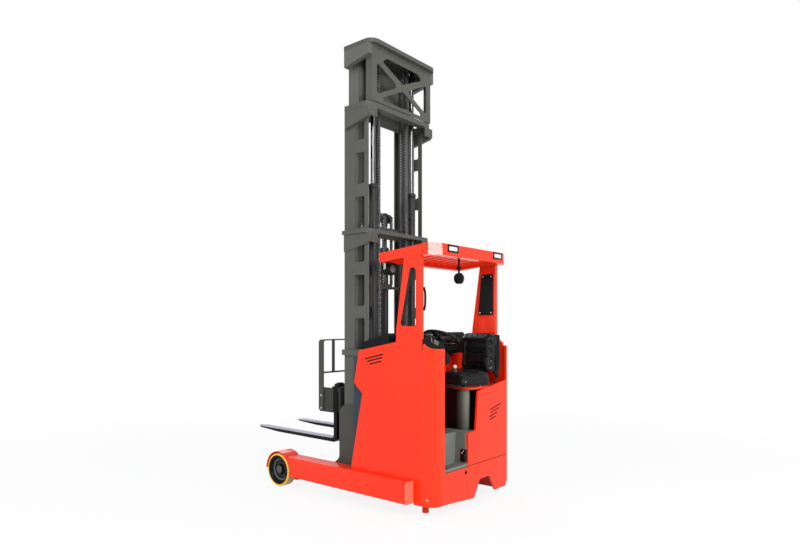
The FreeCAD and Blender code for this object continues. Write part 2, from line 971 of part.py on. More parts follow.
work_lamp_at = (-715.0, 455.0, 2013.0)
work_lamp_r = 50.0
work_lamp_deep = 60.0
fan_slat = 5
fan_at = (-1092.0, guard_beam_w - right_half_width + slat_span * fan_slat / (slat_count + 1), 1946.0)
fan_r = 47.0
fan_deep = 34.0
lamp_stem_r = 9.0


def guard_lamps():
    """Round work lamp and round fan hanging under the guard."""
    slat_bottom = guard_height(fan_at[0]) - 12 - slat_h - 1.3
    pieces = []
    for (x, y, z), radius, deep, top in (
        (work_lamp_at, work_lamp_r, work_lamp_deep, guard_front_bottom + 0.7),
        (fan_at, fan_r, fan_deep, slat_bottom),
    ):
        stem = cylinder((x, y, z + 20), (0, 0, 1), lamp_stem_r, top - z - 20)
        body = cylinder((x - deep / 2, y, z), (1, 0, 0), radius, deep)
        pieces.append(joined([stem, body]))
    return Part.makeCompound(pieces)


left_pillar = pillar()
keep("left_pillar", left_pillar.cut(prism_y(slot_outline, 0, 700)))
right_pillar = mirrored(left_pillar.cut(prism_y(covered_slot, 0, 700)))
right_pillar.translate(Vector(0, body_half_width - right_half_width, 0))
keep("right_pillar", right_pillar)
cover = prism_y(cover_outline, 0, cover_wall)
cover.translate(Vector(0, pillar_wall - right_half_width, 0))
keep("pillar_cover", cover)
keep("guard_frame", guard_frame())
keep("guard_slats", guard_slats())
keep("rear_lights", rear_lights())
keep("guard_lamps", guard_lamps())


# ---------------------------------------------------------------- drive unit
def drive_unit():
    """Turntable, motor above the drive plate, and the fork that holds the wheel."""
    neck_bottom = 2 * drive_wheel_r + 20
    motor = cylinder((drive_x, drive_y, machine_plate_z + 22), (0, 0, 1), motor_r, motor_top - 522)
    neck = cylinder(
        (drive_x, drive_y, neck_bottom), (0, 0, 1), turntable_r, machine_plate_z + 23 - neck_bottom
    )
    ring = cylinder((drive_x, drive_y, neck_bottom + 60), (0, 0, 1), turntable_r + 30, 38)
    crown = cylinder((drive_x, drive_y, neck_bottom), (0, 0, 1), 120, 40)
    side_y = drive_y - drive_wheel_w / 2 - clear - 22
    cheek = box(drive_x - 60, drive_x + 60, side_y, side_y + 22, 110, neck_bottom + 20)
    axle = cylinder(
        (drive_x, side_y + 1, drive_wheel_r), (0, 1, 0), drive_axle_r,
        drive_wheel_w + clear + 25,
    )
    return joined([motor, neck, ring, crown, cheek, axle])


def drive_tyre():
    """Solid tyre of the drive wheel."""
    inner = drive_wheel_r - drive_tyre_wall
    start = drive_y - drive_wheel_w / 2
    profile = [
        (inner, 0),
        (drive_wheel_r, 0, 8),
        (drive_wheel_r, drive_wheel_w, 8),
        (inner, drive_wheel_w),
    ]
    return turned(profile, (drive_x, start, drive_wheel_r), (0, 1, 0))


def drive_rim():
    """Rim of the drive wheel, dished, with the hub on the axle."""
    inner = drive_wheel_r - drive_tyre_wall
    start = drive_y - drive_wheel_w / 2
    bore = drive_axle_r + running_fit
    profile = [
        (bore, 2),
        (inner, 2),
        (inner, drive_wheel_w - 2),
        (inner - 14, drive_wheel_w - 2),
        (inner - 22, 60, 6),
        (60, 56, 6),
        (55, 80, 4),
        (bore, 80),
    ]
    return turned(profile, (drive_x, start, drive_wheel_r), (0, 1, 0))


keep("drive_unit", drive_unit())
keep("drive_tyre", drive_tyre())
keep("drive_rim", drive_rim())


# ---------------------------------------------------------------- reach carriage
def reach_carriage():
    """Side plates with rollers, joined by beams under and behind the mast."""
    y0 = outer_rail_y
    y1 = outer_rail_y + reach_plate_wall
    base = rail_bottom - 40
    profile = [
        (rear_post_x, base),
        (rear_post_x, 300.0, 20),
        (rail_rear_x - 18, 340.0, 30),
        (rail_rear_x - 18, reach_plate_top),
        (rail_front_x - 3, reach_plate_top),
        (rail_front_x + 41, reach_plate_top - 56),
        (rail_front_x + 41, 330.0, 60),
        (rail_front_x + 132, 262.0),
        (rail_front_x + 132, 130.0, 30),
        (rail_front_x + 52, base),
    ]
    plate = prism_y(profile, y0, y1)
    pieces = [plate]
    for x in reach_rollers_x:
        reach = leg_inner_y + channel_depth - clear - y1
        pieces.append(cylinder((x, y1 - 1, channel_mid_z), (0, 1, 0), reach_roller_r, reach + 1))
    right = [mirrored(piece) for piece in pieces]
    sole = box(rear_post_x, rail_front_x, -y0 - 1, y0 + 1, base, rail_bottom)
    beam_half = y0 - rail_width
    beam = box(rear_post_x, rear_post_x + rear_beam_wall, -beam_half, beam_half, base, 270)
    return joined(pieces + right + [sole, beam])


def reach_rod():
    """Rod of the reach cylinder, held by the carriage's rear beam."""
    start = bay_front_x - 560
    return cylinder(
        (start, reach_cylinder_y, reach_cylinder_z), (1, 0, 0), reach_rod_r, rear_post_x - start
    )


keep("reach_carriage", reach_carriage())
keep("reach_rod", reach_rod())


# ---------------------------------------------------------------- mast rails


def rail(outer_y, z0, z1):
    """C-section rail, open towards the middle of the truck."""
    whole = box(rail_rear_x, rail_front_x, outer_y - rail_width, outer_y, z0, z1)
    pocket = box(
        rail_rear_x + rail_flange, rail_front_x - rail_flange,
        outer_y - rail_width - 1, outer_y - rail_web, z0 - 1, z1 + 1,
    )
    return whole.cut(pocket)


def rail_rollers(outer_y):
    """Rollers on a rail's outside that run in the next rail's channel."""
    reach = clear + rail_width - rail_web - clear
    return [
        cylinder((rail_mid_x, outer_y - 1, z), (0, 1, 0), roller_r, reach + 1)
        for z in (rail_bottom + 85, rail_bottom + 500)
    ]


def flange_plate(half_w, top, corner, back_x, wall, front):
    """Left half of a level plate that wraps the rails' outside and rear."""
    inner_x = rear_post_x + rear_beam_wall
    plan = [
        (front, outer_rail_y),
        (front, half_w),
        (back_x, half_w, corner),
        (back_x, 0),
        (inner_x, 0),
        (inner_x, outer_rail_y - rail_width - clear, 30),
        (inner_x + 10, outer_rail_y),
    ]
    return prism_z(plan, top - wall, top)


def rear_return(top, back_x, y1):
    """Upright plate under a flange plate's rear edge, near its left end."""
    return box(back_x, back_x + gusset_wall, y1 - return_w, y1, top - return_h, top + 1)


def gusset(top, rear, front, y0, y1):
    """Tapered plate under a flange plate, deep in front, shallow behind."""
    profile = [
        (front, top),
        (front, top - gusset_front),
        (rear, top - gusset_rear),
        (rear, top),
    ]
    return prism_y(profile, y0, y1)


def outer_mast(post_x):
    """Left outer rail with the ladder plate behind it, as far as post_x, and its gussets."""
    y0 = outer_rail_y - ladder_wall
    top = outer_top - outer_plate_wall
    ladder = box(post_x, rail_rear_x + 1, y0, outer_rail_y, collar_z - collar_wall, top)
    front = rail_rear_x - 4
    back = post_x + rear_post_depth
    for z in window_bottoms:
        window_top = min(z + window_h, top - window_rim)
        window = [
            (back, z, window_rim),
            (front, z, window_rim),
            (front, window_top, window_rim),
            (back, window_top, window_rim),
        ]
        ladder = ladder.cut(prism_y(window, y0 - 1, outer_rail_y + 1))
    pieces = [rail(outer_rail_y, rail_bottom, top), ladder]
    for level, back_x, front_x, outer_y in (
        (top, top_bracket_rear_x, plate_front_x, top_plate_half_w - 2),
        (mid_bracket_z - cap_wall, bracket_rear_x, rail_front_x, outer_rail_y + gusset_wall),
    ):
        pieces.append(gusset(level, back_x + 12, front_x, outer_rail_y - 1, outer_y))
    return joined(pieces)


def outer_bars():
    """Level plates that tie the outer rails together at three heights."""
    top_plate = joined([
        flange_plate(
            top_plate_half_w, outer_top, 80, top_bracket_rear_x, outer_plate_wall, plate_front_x
        ),
        rear_return(outer_top - outer_plate_wall, top_bracket_rear_x, top_plate_half_w - 2),
    ])
    bars = [joined([top_plate, mirrored(top_plate)])]
    front = rail_front_x + 10
    middle = joined([
        flange_plate(bracket_half_w, mid_bracket_z, 60, bracket_rear_x, cap_wall, front),
        rear_return(mid_bracket_z - cap_wall, bracket_rear_x, outer_rail_y + gusset_wall),
    ])
    collar = flange_plate(bracket_half_w, collar_z, 60, bracket_rear_x, collar_wall, front)
    spaces = [
        box(post_x, rail_front_x + 20, outer_rail_y - rail_width, outer_rail_y, 0, outer_top)
        for post_x in (rear_post_x, rear_post_right_x)
    ]
    for plate in (middle, collar):
        left, right = (plate.cut(space) for space in spaces)
        bars.append(joined([left, mirrored(right)]))
    return Part.makeCompound(bars)


def lift_cylinders():
    """Barrels of the two main lift cylinders, standing behind the rails."""
    barrels = []
    for y in (lift_cylinder_y, -lift_cylinder_y):
        barrels.append(tube(
            (lift_cylinder_x, y, rail_bottom), (0, 0, 1), lift_barrel_r,
            lift_rod_r + running_fit, lift_barrel_top - rail_bottom,
        ))
    return Part.makeCompound(barrels)


def lift_rods():
    """Rods of the main lift cylinders, up to the middle stage's cap plate."""
    rods = []
    for y in (lift_cylinder_y, -lift_cylinder_y):
        rods.append(cylinder(
            (lift_cylinder_x, y, rail_bottom + 40), (0, 0, 1), lift_rod_r,
            middle_top - cap_wall - rail_bottom - 40,
        ))
    return Part.makeCompound(rods)


middle_rail_y = outer_rail_y - rail_width - clear
inner_rail_y = middle_rail_y - rail_width - clear
stage_bottom = rail_bottom + 2 * clear
rear_bar_x = rail_rear_x - clear


def middle_mast():
    """Left middle rail with its rollers and the tapered head gusset."""
    top = middle_top - cap_wall
    pieces = [rail(middle_rail_y, stage_bottom, top)]
    pieces += rail_rollers(middle_rail_y)
    gusset_y = head_half_w - 8
    flange_front_x = brace_rear_x + brace_flange
    inner_y = gusset_y - gusset_wall
    pieces.append(gusset(top, flange_front_x + touch_gap, plate_front_x, inner_y, gusset_y + 5))
    pieces.append(gusset(top, brace_rear_x, plate_front_x, gusset_y + touch_gap, cap_half_w - 2))
    shelf = box(rail_rear_x, plate_front_x, middle_rail_y - 1, gusset_y - 1, top - 12, top)
    pieces.append(shelf)
    return joined(pieces)


def head_brace():
    """Cap plate, X-shaped brace plate and thin bars of the middle stage."""
    top = middle_top
    plan = [
        (plate_front_x, middle_rail_y),
        (plate_front_x, cap_half_w),
        (cap_rear_x, cap_half_w, 90),
        (cap_rear_x, 0),
        (rail_rear_x - 20, 0),
        (rail_rear_x - 20, middle_rail_y - rail_width),
        (rail_front_x, middle_rail_y - rail_width),
        (rail_front_x, middle_rail_y),
    ]
    cap = prism_z(plan, top - cap_wall, top)
    wall = 12.0
    low = outer_top + clear + 1
    high = top - cap_wall
    brace_y = head_half_w - 8
    x0 = brace_rear_x
    x1 = brace_rear_x + wall
    plate = box(x0, x1, -brace_y, brace_y, low, high)
    apex_z = low + 0.47 * (high - low)
    windows = [
        [
            (brace_y - 135, high - 118, 15), (brace_y - 200, high - 72, 25),
            (200 - brace_y, high - 72, 25), (135 - brace_y, high - 118, 15),
            (0, apex_z + brace_apex_up, 25),
        ],
        [
            (brace_y - 85, low + brace_foot, 18), (0, apex_z - brace_apex_down, 25),
            (85 - brace_y, low + brace_foot, 18),
        ],
    ]
    for side in (1, -1):
        post = side * (brace_y - 63)
        windows.append([
            (post, high - 145, 20), (side * brace_waist_y, apex_z - 20, 25), (post, low + 69, 20),
        ])
    for window in windows:
        plate = plate.cut(prism_x(window, x0 - 5, x1 + 5))
    flange = box(x0, x0 + brace_flange, brace_y - wall, brace_y, low, high)
    pieces = [cap, mirrored(cap), plate, flange, mirrored(flange)]
    return joined(pieces)


def middle_bars():
    """Thin bars that tie the middle rails together behind."""
    bars = []
    for z in (stage_bottom + 20,) + middle_bars_z:
        top = z + middle_bar_h
        bar = box(rear_bar_x - 8, rear_bar_x, -middle_rail_y, middle_rail_y, z, top)
        pad = box(rear_bar_x - 1, rail_rear_x, middle_rail_y - rail_width + 5, middle_rail_y, z, top)
        bars.append(joined([bar, pad, mirrored(pad)]))
    return Part.makeCompound(bars)


def inner_mast():
    """Left inner rail with its rollers."""
    pieces = [rail(inner_rail_y, stage_bottom, middle_top - cap_wall - 10)]
    pieces += rail_rollers(inner_rail_y)
    return joined(pieces)


def inner_bars():
    """Bars between the inner rails, with the seats of the free-lift cylinder."""
    half = inner_rail_y - rail_width
    bars = []
    for z, height in (
        (stage_bottom + 20, 100),
        (clamp_bar_z, clamp_bar_h),
        (middle_top - cap_wall - 110, 100),
    ):
        bars.append(box(rail_rear_x, rail_rear_x + inner_bar_wall, -half, half, z, z + height))
    foot = box(
        rail_rear_x + 8, free_cylinder_x + free_barrel_r, free_cylinder_y - 55,
        free_cylinder_y + 55, stage_bottom + 20, stage_bottom + 35,
    )
    bars[0] = joined([bars[0], foot])
    clamp = box(
        rail_rear_x + 8, free_cylinder_x, free_cylinder_y - 50, free_cylinder_y + 50,
        clamp_bar_z, clamp_bar_z + 2 * clamp_bar_h,
    )
    hole = cylinder(
        (free_cylinder_x, free_cylinder_y, clamp_bar_z - 10), (0, 0, 1),
        free_barrel_r + touch_gap, 100,
    )
    bars[1] = joined([bars[1], clamp]).cut(hole)
    return Part.makeCompound(bars)


def free_cylinder():
    """Barrel of the free-lift cylinder."""
    z0 = stage_bottom + 35
    return tube(
        (free_cylinder_x, free_cylinder_y, z0), (0, 0, 1), free_barrel_r,
        free_rod_r + running_fit, free_barrel_top - z0,
    )


def free_lift_head():
    """Free-lift rod with the crosshead and its two chain wheels."""
    rod_z = stage_bottom + 35 + free_drop + 2 * clear
    rod = cylinder(
        (free_cylinder_x, free_cylinder_y, rod_z), (0, 0, 1), free_rod_r,
        crosshead_bottom + 10 - rod_z,
    )
    block = box(
        free_cylinder_x - 22, free_cylinder_x + 22, free_cylinder_y - 22, free_cylinder_y + 22,
        crosshead_bottom, crosshead_top - 20,
    )
    pieces = [rod, block]
    wheel_z = (crosshead_bottom + crosshead_top) / 2
    pin_half_w = chain_wheel_offset + chain_wheel_w / 2 + 6
    pieces.append(cylinder(
        (free_cylinder_x, free_cylinder_y - pin_half_w, wheel_z), (0, 1, 0), 14, 2 * pin_half_w
    ))
    for side in (1, -1):
        start = free_cylinder_y + side * chain_wheel_offset - chain_wheel_w / 2
        pieces.append(cylinder(
            (free_cylinder_x, start, wheel_z), (0, 1, 0), chain_wheel_r, chain_wheel_w
        ))
    return joined(pieces)


keep("outer_mast_left", outer_mast(rear_post_x))
keep("outer_mast_right", mirrored(outer_mast(rear_post_right_x)))
keep("outer_mast_brackets", outer_bars())
keep("lift_cylinders", lift_cylinders())
keep("lift_rods", lift_rods())
left_middle = middle_mast()
keep("middle_mast_left", left_middle)
keep("middle_mast_right", mirrored(left_middle))
keep("middle_mast_bars", middle_bars())
keep("mast_head_brace", head_brace())
left_inner = inner_mast()
keep("inner_mast_left", left_inner)
keep("inner_mast_right", mirrored(left_inner))
keep("inner_mast_bars", inner_bars())
keep("free_lift_cylinder", free_cylinder())
keep("free_lift_head", free_lift_head())


# ---------------------------------------------------------------- fork carriage
lift_plate_y = inner_rail_y - rail_width - 8
lift_plate_wall = 26.0
lift_cross_wall = 25.0
pin_half = tilt_lug_half + 30


def lift_carriage():
    """Roller plates in the inner rails, cross plate, tilt ears and tilt barrel."""
    pieces = []
    side = box(
        rail_rear_x + 17, carriage_front_x, lift_plate_y - lift_plate_wall, lift_plate_y,
        carriage_bottom, carriage_top,
    )
    pieces.append(side)
    for z in (carriage_bottom + 60, carriage_top - 50):
        reach = rail_width - rail_web + 8 - clear
        pieces.append(cylinder((rail_mid_x, lift_plate_y - 1, z), (0, 1, 0), roller_r, reach + 1))
    pieces += [mirrored(piece) for piece in pieces]
    cross_y = lift_plate_y + 40
    for z0, z1 in ((carriage_bottom, carriage_bottom + 160), (carriage_top - 150, carriage_top)):
        pieces.append(box(
            carriage_front_x - lift_cross_wall, carriage_front_x, -cross_y, cross_y, z0, z1
        ))
    ear = prism_y(
        [
            (carriage_front_x - 1, tilt_pin_z - 45),
            (tilt_pin_x, tilt_pin_z - 38, 20),
            (tilt_pin_x + 38, tilt_pin_z, 20),
            (tilt_pin_x, tilt_pin_z + 38, 20),
            (carriage_front_x - 1, tilt_pin_z + 45),
        ],
        tilt_lug_half, pin_half,
    )
    pieces += [ear, mirrored(ear)]
    barrel = cylinder(
        (carriage_front_x - 40, 0, tilt_rod_z), (1, 0, 0), 32, 55
    )
    pieces.append(barrel)
    body = joined(pieces)
    pin = cylinder(
        (tilt_pin_x, -pin_half, tilt_pin_z), (0, 1, 0), tilt_pin_r + running_fit, 2 * pin_half
    )
    bore = cylinder((carriage_front_x - 35, 0, tilt_rod_z), (1, 0, 0), tilt_rod_r + running_fit, 60)
    return body.cut(pin).cut(bore)


def tilt_rod():
    """Tilt cylinder's rod with the eye at its end."""
    rod = cylinder(
        (carriage_front_x - 15, 0, tilt_rod_z), (1, 0, 0), tilt_rod_r,
        tilt_eye_x - carriage_front_x + 5,
    )
    eye = cylinder((tilt_eye_x, -14, tilt_rod_z), (0, 1, 0), 24, 28)
    hole = cylinder((tilt_eye_x, -20, tilt_rod_z), (0, 1, 0), eye_pin_r + eye_play, 40)
    return joined([rod, eye]).cut(hole)


def tilt_frame():
    """Plate that tilts on the pins, with lugs for the pins and the rod's eye."""
    plate = box(
        tilt_plate_rear_x, tilt_plate_front_x, -fork_bar_half_w + 60, fork_bar_half_w - 60,
        fork_bar_bottom, carriage_top,
    )
    lug = prism_y(
        [
            (tilt_plate_rear_x + 1, tilt_pin_z - 42),
            (tilt_pin_x, tilt_pin_z - 36, 20),
            (tilt_pin_x - 36, tilt_pin_z, 20),
            (tilt_pin_x, tilt_pin_z + 36, 20),
            (tilt_plate_rear_x + 1, tilt_pin_z + 42),
        ],
        tilt_lug_half - clear - 30, tilt_lug_half - clear,
    )
    pin = cylinder(
        (tilt_pin_x, tilt_lug_half - clear - 10, tilt_pin_z), (0, 1, 0), tilt_pin_r,
        pin_half - tilt_lug_half + clear + 15,
    )
    tongue = box(
        tilt_plate_rear_x, tilt_plate_front_x, -50, 50, tilt_rod_z - 30, fork_bar_bottom + 1
    )
    cheek = prism_y(
        [
            (tilt_plate_rear_x + 1, tilt_rod_z - 30),
            (tilt_eye_x - 20, tilt_rod_z - 18, 14),
            (tilt_eye_x - 20, tilt_rod_z + 18, 14),
            (tilt_plate_rear_x + 1, tilt_rod_z + 30),
        ],
        19, 35,
    )
    eye_pin = cylinder((tilt_eye_x, -34, tilt_rod_z), (0, 1, 0), eye_pin_r, 68)
    pieces = [plate, lug, mirrored(lug), pin, mirrored(pin), tongue, cheek, mirrored(cheek), eye_pin]
    shift_rail = box(
        tilt_plate_front_x - 1, shift_rail_front_x, -fork_bar_half_w + 60, fork_bar_half_w - 60,
        carriage_top - shift_rail_h, carriage_top,
    )
    pieces.append(shift_rail)
    return joined(pieces)


def fork_carriage():
    """Side-shifting frame that slides on the tilt frame's rail."""
    front = fork_shank_front_x - fork_wall
    back = front - fork_plate_wall
    plate = box(back, front, -fork_bar_half_w + 20, fork_bar_half_w - 20,
                fork_bar_bottom, carriage_top + 15)
    pad = box(
        shift_rail_front_x + 0.5, back + 1, -shift_pad_half_w, shift_pad_half_w,
        carriage_top - shift_rail_h - 20, carriage_top + 15,
    )
    ends = []
    for side in (1, -1):
        ends.append(box(
            back, backrest_rear_x + backrest_depth, side * (fork_bar_half_w - backrest_wall),
            side * (fork_bar_half_w - backrest_wall - 14), fork_bar_bottom, carriage_top,
        ))
    jaws = []
    for z0, z1 in (
        (carriage_top + 0.5, carriage_top + 15),
        (carriage_top - shift_rail_h - 20, carriage_top - shift_rail_h - 0.5),
    ):
        jaws.append(box(
            tilt_plate_front_x + 4, back + 1, -shift_pad_half_w, shift_pad_half_w, z0, z1
        ))
    return joined([plate, pad] + jaws + ends)


def load_backrest():
    """Flat-bar frame standing on the fork carriage's ends."""
    x0 = backrest_rear_x
    x1 = backrest_rear_x + backrest_depth
    y1 = fork_bar_half_w
    y0 = y1 - backrest_wall
    outside = [
        (-y1, backrest_bottom),
        (y1, backrest_bottom),
        (y1, backrest_top, 35),
        (-y1, backrest_top, 35),
    ]
    inside = [
        (-y0, backrest_bottom - 10),
        (y0, backrest_bottom - 10),
        (y0, backrest_top - backrest_wall, 23),
        (-y0, backrest_top - backrest_wall, 23),
    ]
    hoop = prism_x(outside, x0, x1).cut(prism_x(inside, x0 - 1, x1 + 1))
    rail_bar = box(x0, x1, -y0 - 1, y0 + 1, backrest_rail_z - backrest_wall, backrest_rail_z)
    posts = []
    for y in (backrest_inner_y, -backrest_inner_y):
        posts.append(box(
            x0, x0 + backrest_post_depth, y - backrest_wall / 2, y + backrest_wall / 2,
            backrest_rail_z - 1, backrest_top - backrest_wall + 1,
        ))
    return joined([hoop, rail_bar] + posts)


def fork(y):
    """L-shaped fork: tapered blade, rounded heel and shank."""
    top = fork_blade_bottom + fork_blade_wall
    shank_back = fork_shank_front_x - fork_wall
    profile = [
        (shank_back, fork_blade_bottom, 45),
        (fork_tip_x - 350, fork_blade_bottom + 6),
        (fork_tip_x, top - 9, 3),
        (fork_tip_x, top, 3),
        (fork_shank_front_x, top, 25),
        (fork_shank_front_x, carriage_top - 6),
        (shank_back, carriage_top - 6),
    ]
    blade = prism_y(profile, y - fork_w / 2, y + fork_w / 2)
    nose = 32.0
    for side in (1, -1):
        edge = y + side * fork_w / 2
        corner = [
            (fork_tip_x - nose * 2, edge),
            (fork_tip_x, edge - side * nose),
            (fork_tip_x + 10, edge - side * nose),
            (fork_tip_x + 10, edge + side * 10),
            (fork_tip_x - nose * 2, edge + side * 10),
        ]
        blade = blade.cut(prism_z(corner, 0, 2000))
    return blade


keep("lift_carriage", lift_carriage())
keep("tilt_rod", tilt_rod())
keep("tilt_frame", tilt_frame())
keep("fork_carriage", fork_carriage())
keep("load_backrest", load_backrest())
keep("left_fork", fork(fork_y))
keep("right_fork", fork(-fork_y))

os.makedirs("parts", exist_ok=True)
for name, shape in parts.items():
    if not shape.isValid():
        print("invalid:", name)
    print(f"{name}: {len(shape.Solids)} solids, {shape.Volume / 1e6:.2f} litres")
    shape.exportStep(os.path.join("parts", name + ".step"))
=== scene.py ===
import math

import bmesh
import bpy
import numpy as np
from mathutils import Matrix, Vector
from mathutils.bvhtree import BVHTree


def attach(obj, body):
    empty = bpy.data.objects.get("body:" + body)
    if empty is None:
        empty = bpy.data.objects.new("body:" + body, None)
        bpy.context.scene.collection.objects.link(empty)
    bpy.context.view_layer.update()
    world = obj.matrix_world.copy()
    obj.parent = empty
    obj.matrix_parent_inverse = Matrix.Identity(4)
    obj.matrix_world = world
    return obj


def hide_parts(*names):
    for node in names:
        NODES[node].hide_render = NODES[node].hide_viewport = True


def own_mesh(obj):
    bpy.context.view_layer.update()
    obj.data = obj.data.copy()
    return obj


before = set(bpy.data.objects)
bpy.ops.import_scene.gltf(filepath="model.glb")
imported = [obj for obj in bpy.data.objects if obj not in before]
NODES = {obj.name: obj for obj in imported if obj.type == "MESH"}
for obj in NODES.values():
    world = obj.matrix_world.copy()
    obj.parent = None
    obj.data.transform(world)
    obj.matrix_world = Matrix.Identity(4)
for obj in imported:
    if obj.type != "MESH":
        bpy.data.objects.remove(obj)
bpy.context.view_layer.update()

bl_info = {
    "name": "Reach truck finisher",
    "version": (1, 0, 0),
    "blender": (4, 5, 0),
    "location": "View3D > Sidebar > Truck",
    "description": "Paint, upholstery, chains and fittings of a reach truck",
    "category": "Object",
}

FORWARD, ACROSS, UP = Vector((1, 0, 0)), Vector((0, 1, 0)), Vector((0, 0, 1))
SIDES = (("left", 1), ("right", -1))
LOAD_AXLE = (0.527, 0.155)
DRIVE_AXLE = (-0.98, 0.17)
STEERING = Vector((-1.06, 0.175, 1.43))
STEERING_AXIS = Vector((0, -0.42262, 0.90631))


# ------------------------------------------------------------------ settings
def colour_prop(name, description, value):
    return bpy.props.FloatVectorProperty(
        name=name, description=description, subtype="COLOR", size=3, min=0, max=1, default=value)


def length_prop(name, description, value, low, high):
    return bpy.props.FloatProperty(
        name=name, description=description, unit="LENGTH", default=value, min=low, max=high)


class FinishSettings(bpy.types.PropertyGroup):
    """Colours of the truck's finishes."""

    body: colour_prop("Body paint", "Gloss paint of the body, legs and guard", (0.90, 0.031, 0.005))
    mast: colour_prop("Mast paint", "Satin paint of the mast", (0.086, 0.088, 0.075))
    step: colour_prop("Step paint", "Paint of the floor and the step", (0.17, 0.185, 0.16))
    vinyl: colour_prop("Seat cover", "Grained cover of the seat", (0.0075, 0.0082, 0.009))
    tyre: colour_prop("Load wheel tyre", "Cast tyre of the load wheels", (0.86, 0.47, 0.02))
    battery: colour_prop("Battery", "Paint of the battery case", (0.026, 0.038, 0.054))


class SizeSettings(bpy.types.PropertyGroup):
    """Sizes of the pieces that are made here."""

    bolt_radius: length_prop("Bolt head", "Radius of a hexagon head", 0.0115, 0.003, 0.03)
    bolt_height: length_prop("Bolt head height", "Height of a hexagon head", 0.008, 0.002, 0.02)
    screw_radius: length_prop("Screw head", "Radius of a panel screw's head", 0.0075, 0.002, 0.02)
    chain_pitch: length_prop("Chain pitch", "Pin to pin distance of the chains", 0.0254, 0.01, 0.06)
    stitch_length: length_prop("Stitch length", "Length of a seat stitch", 0.007, 0.002, 0.02)
    swell: length_prop("Seat swell", "The furthest the seat's cover may move", 0.012, 0.0, 0.04)
    voxel: length_prop("Seat mesh", "Edge length of the unsmoothed cover", 0.0055, 0.003, 0.02)


def sizes():
    return bpy.context.scene.truck_sizes


# ------------------------------------------------------------------ node trees
class Value:
    """An output of a node, which can be used in sums."""

    def __init__(self, graph, socket):
        self.graph = graph
        self.socket = socket

    def other(self, name):
        """Another output of the same node."""
        return Value(self.graph, self.socket.node.outputs[name])

    def __add__(self, other):
        return self.graph.maths("ADD", self, other)

    def __radd__(self, other):
        return self.graph.maths("ADD", other, self)

    def __sub__(self, other):
        return self.graph.maths("SUBTRACT", self, other)

    def __mul__(self, other):
        return self.graph.maths("MULTIPLY", self, other)


class Graph:
    """A node tree, built one node at a time."""

    def __init__(self, tree):
        self.tree = tree

    def node(self, kind, sockets=None, **settings):
        """Adds a node, fills its sockets with values or links, and gives its first output."""
        made = self.tree.nodes.new(kind)
        for name, value in settings.items():
            setattr(made, name, value)
        for name, value in (sockets or {}).items():
            socket = made.inputs[name]
            if isinstance(value, Value):
                self.tree.links.new(value.socket, socket)
            elif socket.type == "RGBA":
                socket.default_value = tuple(value)[:3] + (1,)
            else:
                socket.default_value = value
        return Value(self, made.outputs[0]) if made.outputs else None

    def maths(self, operation, *values):
        return self.node("ShaderNodeMath", dict(enumerate(values)), operation=operation)


class Recipe(Graph):
    """A material or a world."""

    def __init__(self, name, kind="materials"):
        self.owner = getattr(bpy.data, kind).new(name)
        self.owner.use_nodes = True
        super().__init__(self.owner.node_tree)
        self.tree.nodes.clear()

    def place(self):
        """Where a point of the piece is, in metres."""
        return self.node("ShaderNodeTexCoord").other("Object")

    def parts(self):
        """The same as three numbers."""
        x = self.node("ShaderNodeSeparateXYZ", {0: self.place()})
        return x, x.other(1), x.other(2)

    def noise(self, scale, detail=3.0, rough=0.55, stretch=None, vector=None):
        """Soft cloudy pattern from 0 to 1."""
        vector = vector or self.place()
        if stretch:
            vector = self.node("ShaderNodeMapping", {"Vector": vector, "Scale": stretch})
        return self.node("ShaderNodeTexNoise", {
            "Vector": vector, "Scale": scale, "Detail": detail, "Roughness": rough})

    def cells(self, scale, vector=None):
        """Cell pattern, such as the grain of a cover."""
        return self.node("ShaderNodeTexVoronoi", {
            "Vector": vector or self.place(), "Scale": scale}, feature="DISTANCE_TO_EDGE")

    def limit(self, value, low, high, start=0.0, end=1.0):
        """Takes low to start and high to end, and no further."""
        return self.node("ShaderNodeMapRange", {
            "Value": value, "From Min": low, "From Max": high, "To Min": start, "To Max": end},
            clamp=True)

    def spread(self, pattern, start=0.0, end=1.0):
        """Takes the middle of a cloudy pattern over the whole way from start to end."""
        return self.limit(pattern, 0.3, 0.7, start, end)

    def mix(self, factor, first, second):
        """From the first colour to the second."""
        mixed = self.node("ShaderNodeMix", {0: factor, 6: first, 7: second}, data_type="RGBA")
        return mixed.other(2)

    def edges(self, radius):
        """Rounded normal of the piece, and how near a point is to an outside edge."""
        bevel = self.node("ShaderNodeBevel", {"Radius": radius}, samples=6)
        flat = self.node("ShaderNodeNewGeometry").other("Normal")
        same = self.node("ShaderNodeVectorMath", {0: bevel, 1: flat}, operation="DOT_PRODUCT")
        return bevel, self.limit(same.other("Value"), 0.995, 0.86)

    def bump(self, height, distance, strength=1.0, normal=None):
        sockets = {"Height": height, "Distance": distance, "Strength": strength}
        if normal is not None:
            sockets["Normal"] = normal
        return self.node("ShaderNodeBump", sockets)

    def seen(self):
        """1 for a ray from the camera, and for one that a mirror or a lens sends on."""
        ray = self.node("ShaderNodeLightPath").other
        sent_on = self.maths("MAXIMUM", ray("Is Glossy Ray"), ray("Is Transmission Ray"))
        return self.maths("MAXIMUM", ray("Is Camera Ray"), sent_on)

    def finish(self, **sockets):
        """The surface itself; the names are the shader's sockets with _ for a space."""
        filled = {name.replace("_", " "): value for name, value in sockets.items()}
        return self.end(self.node("ShaderNodeBsdfPrincipled", filled))

    def end(self, surface, kind="ShaderNodeOutputMaterial"):
        self.node(kind, {"Surface": surface})
        return self.owner


def darker(colour, share):
    return tuple(level * share for level in tuple(colour)[:3])


def lighter(colour, share):
    return tuple(level + (1 - level) * share for level in tuple(colour)[:3])


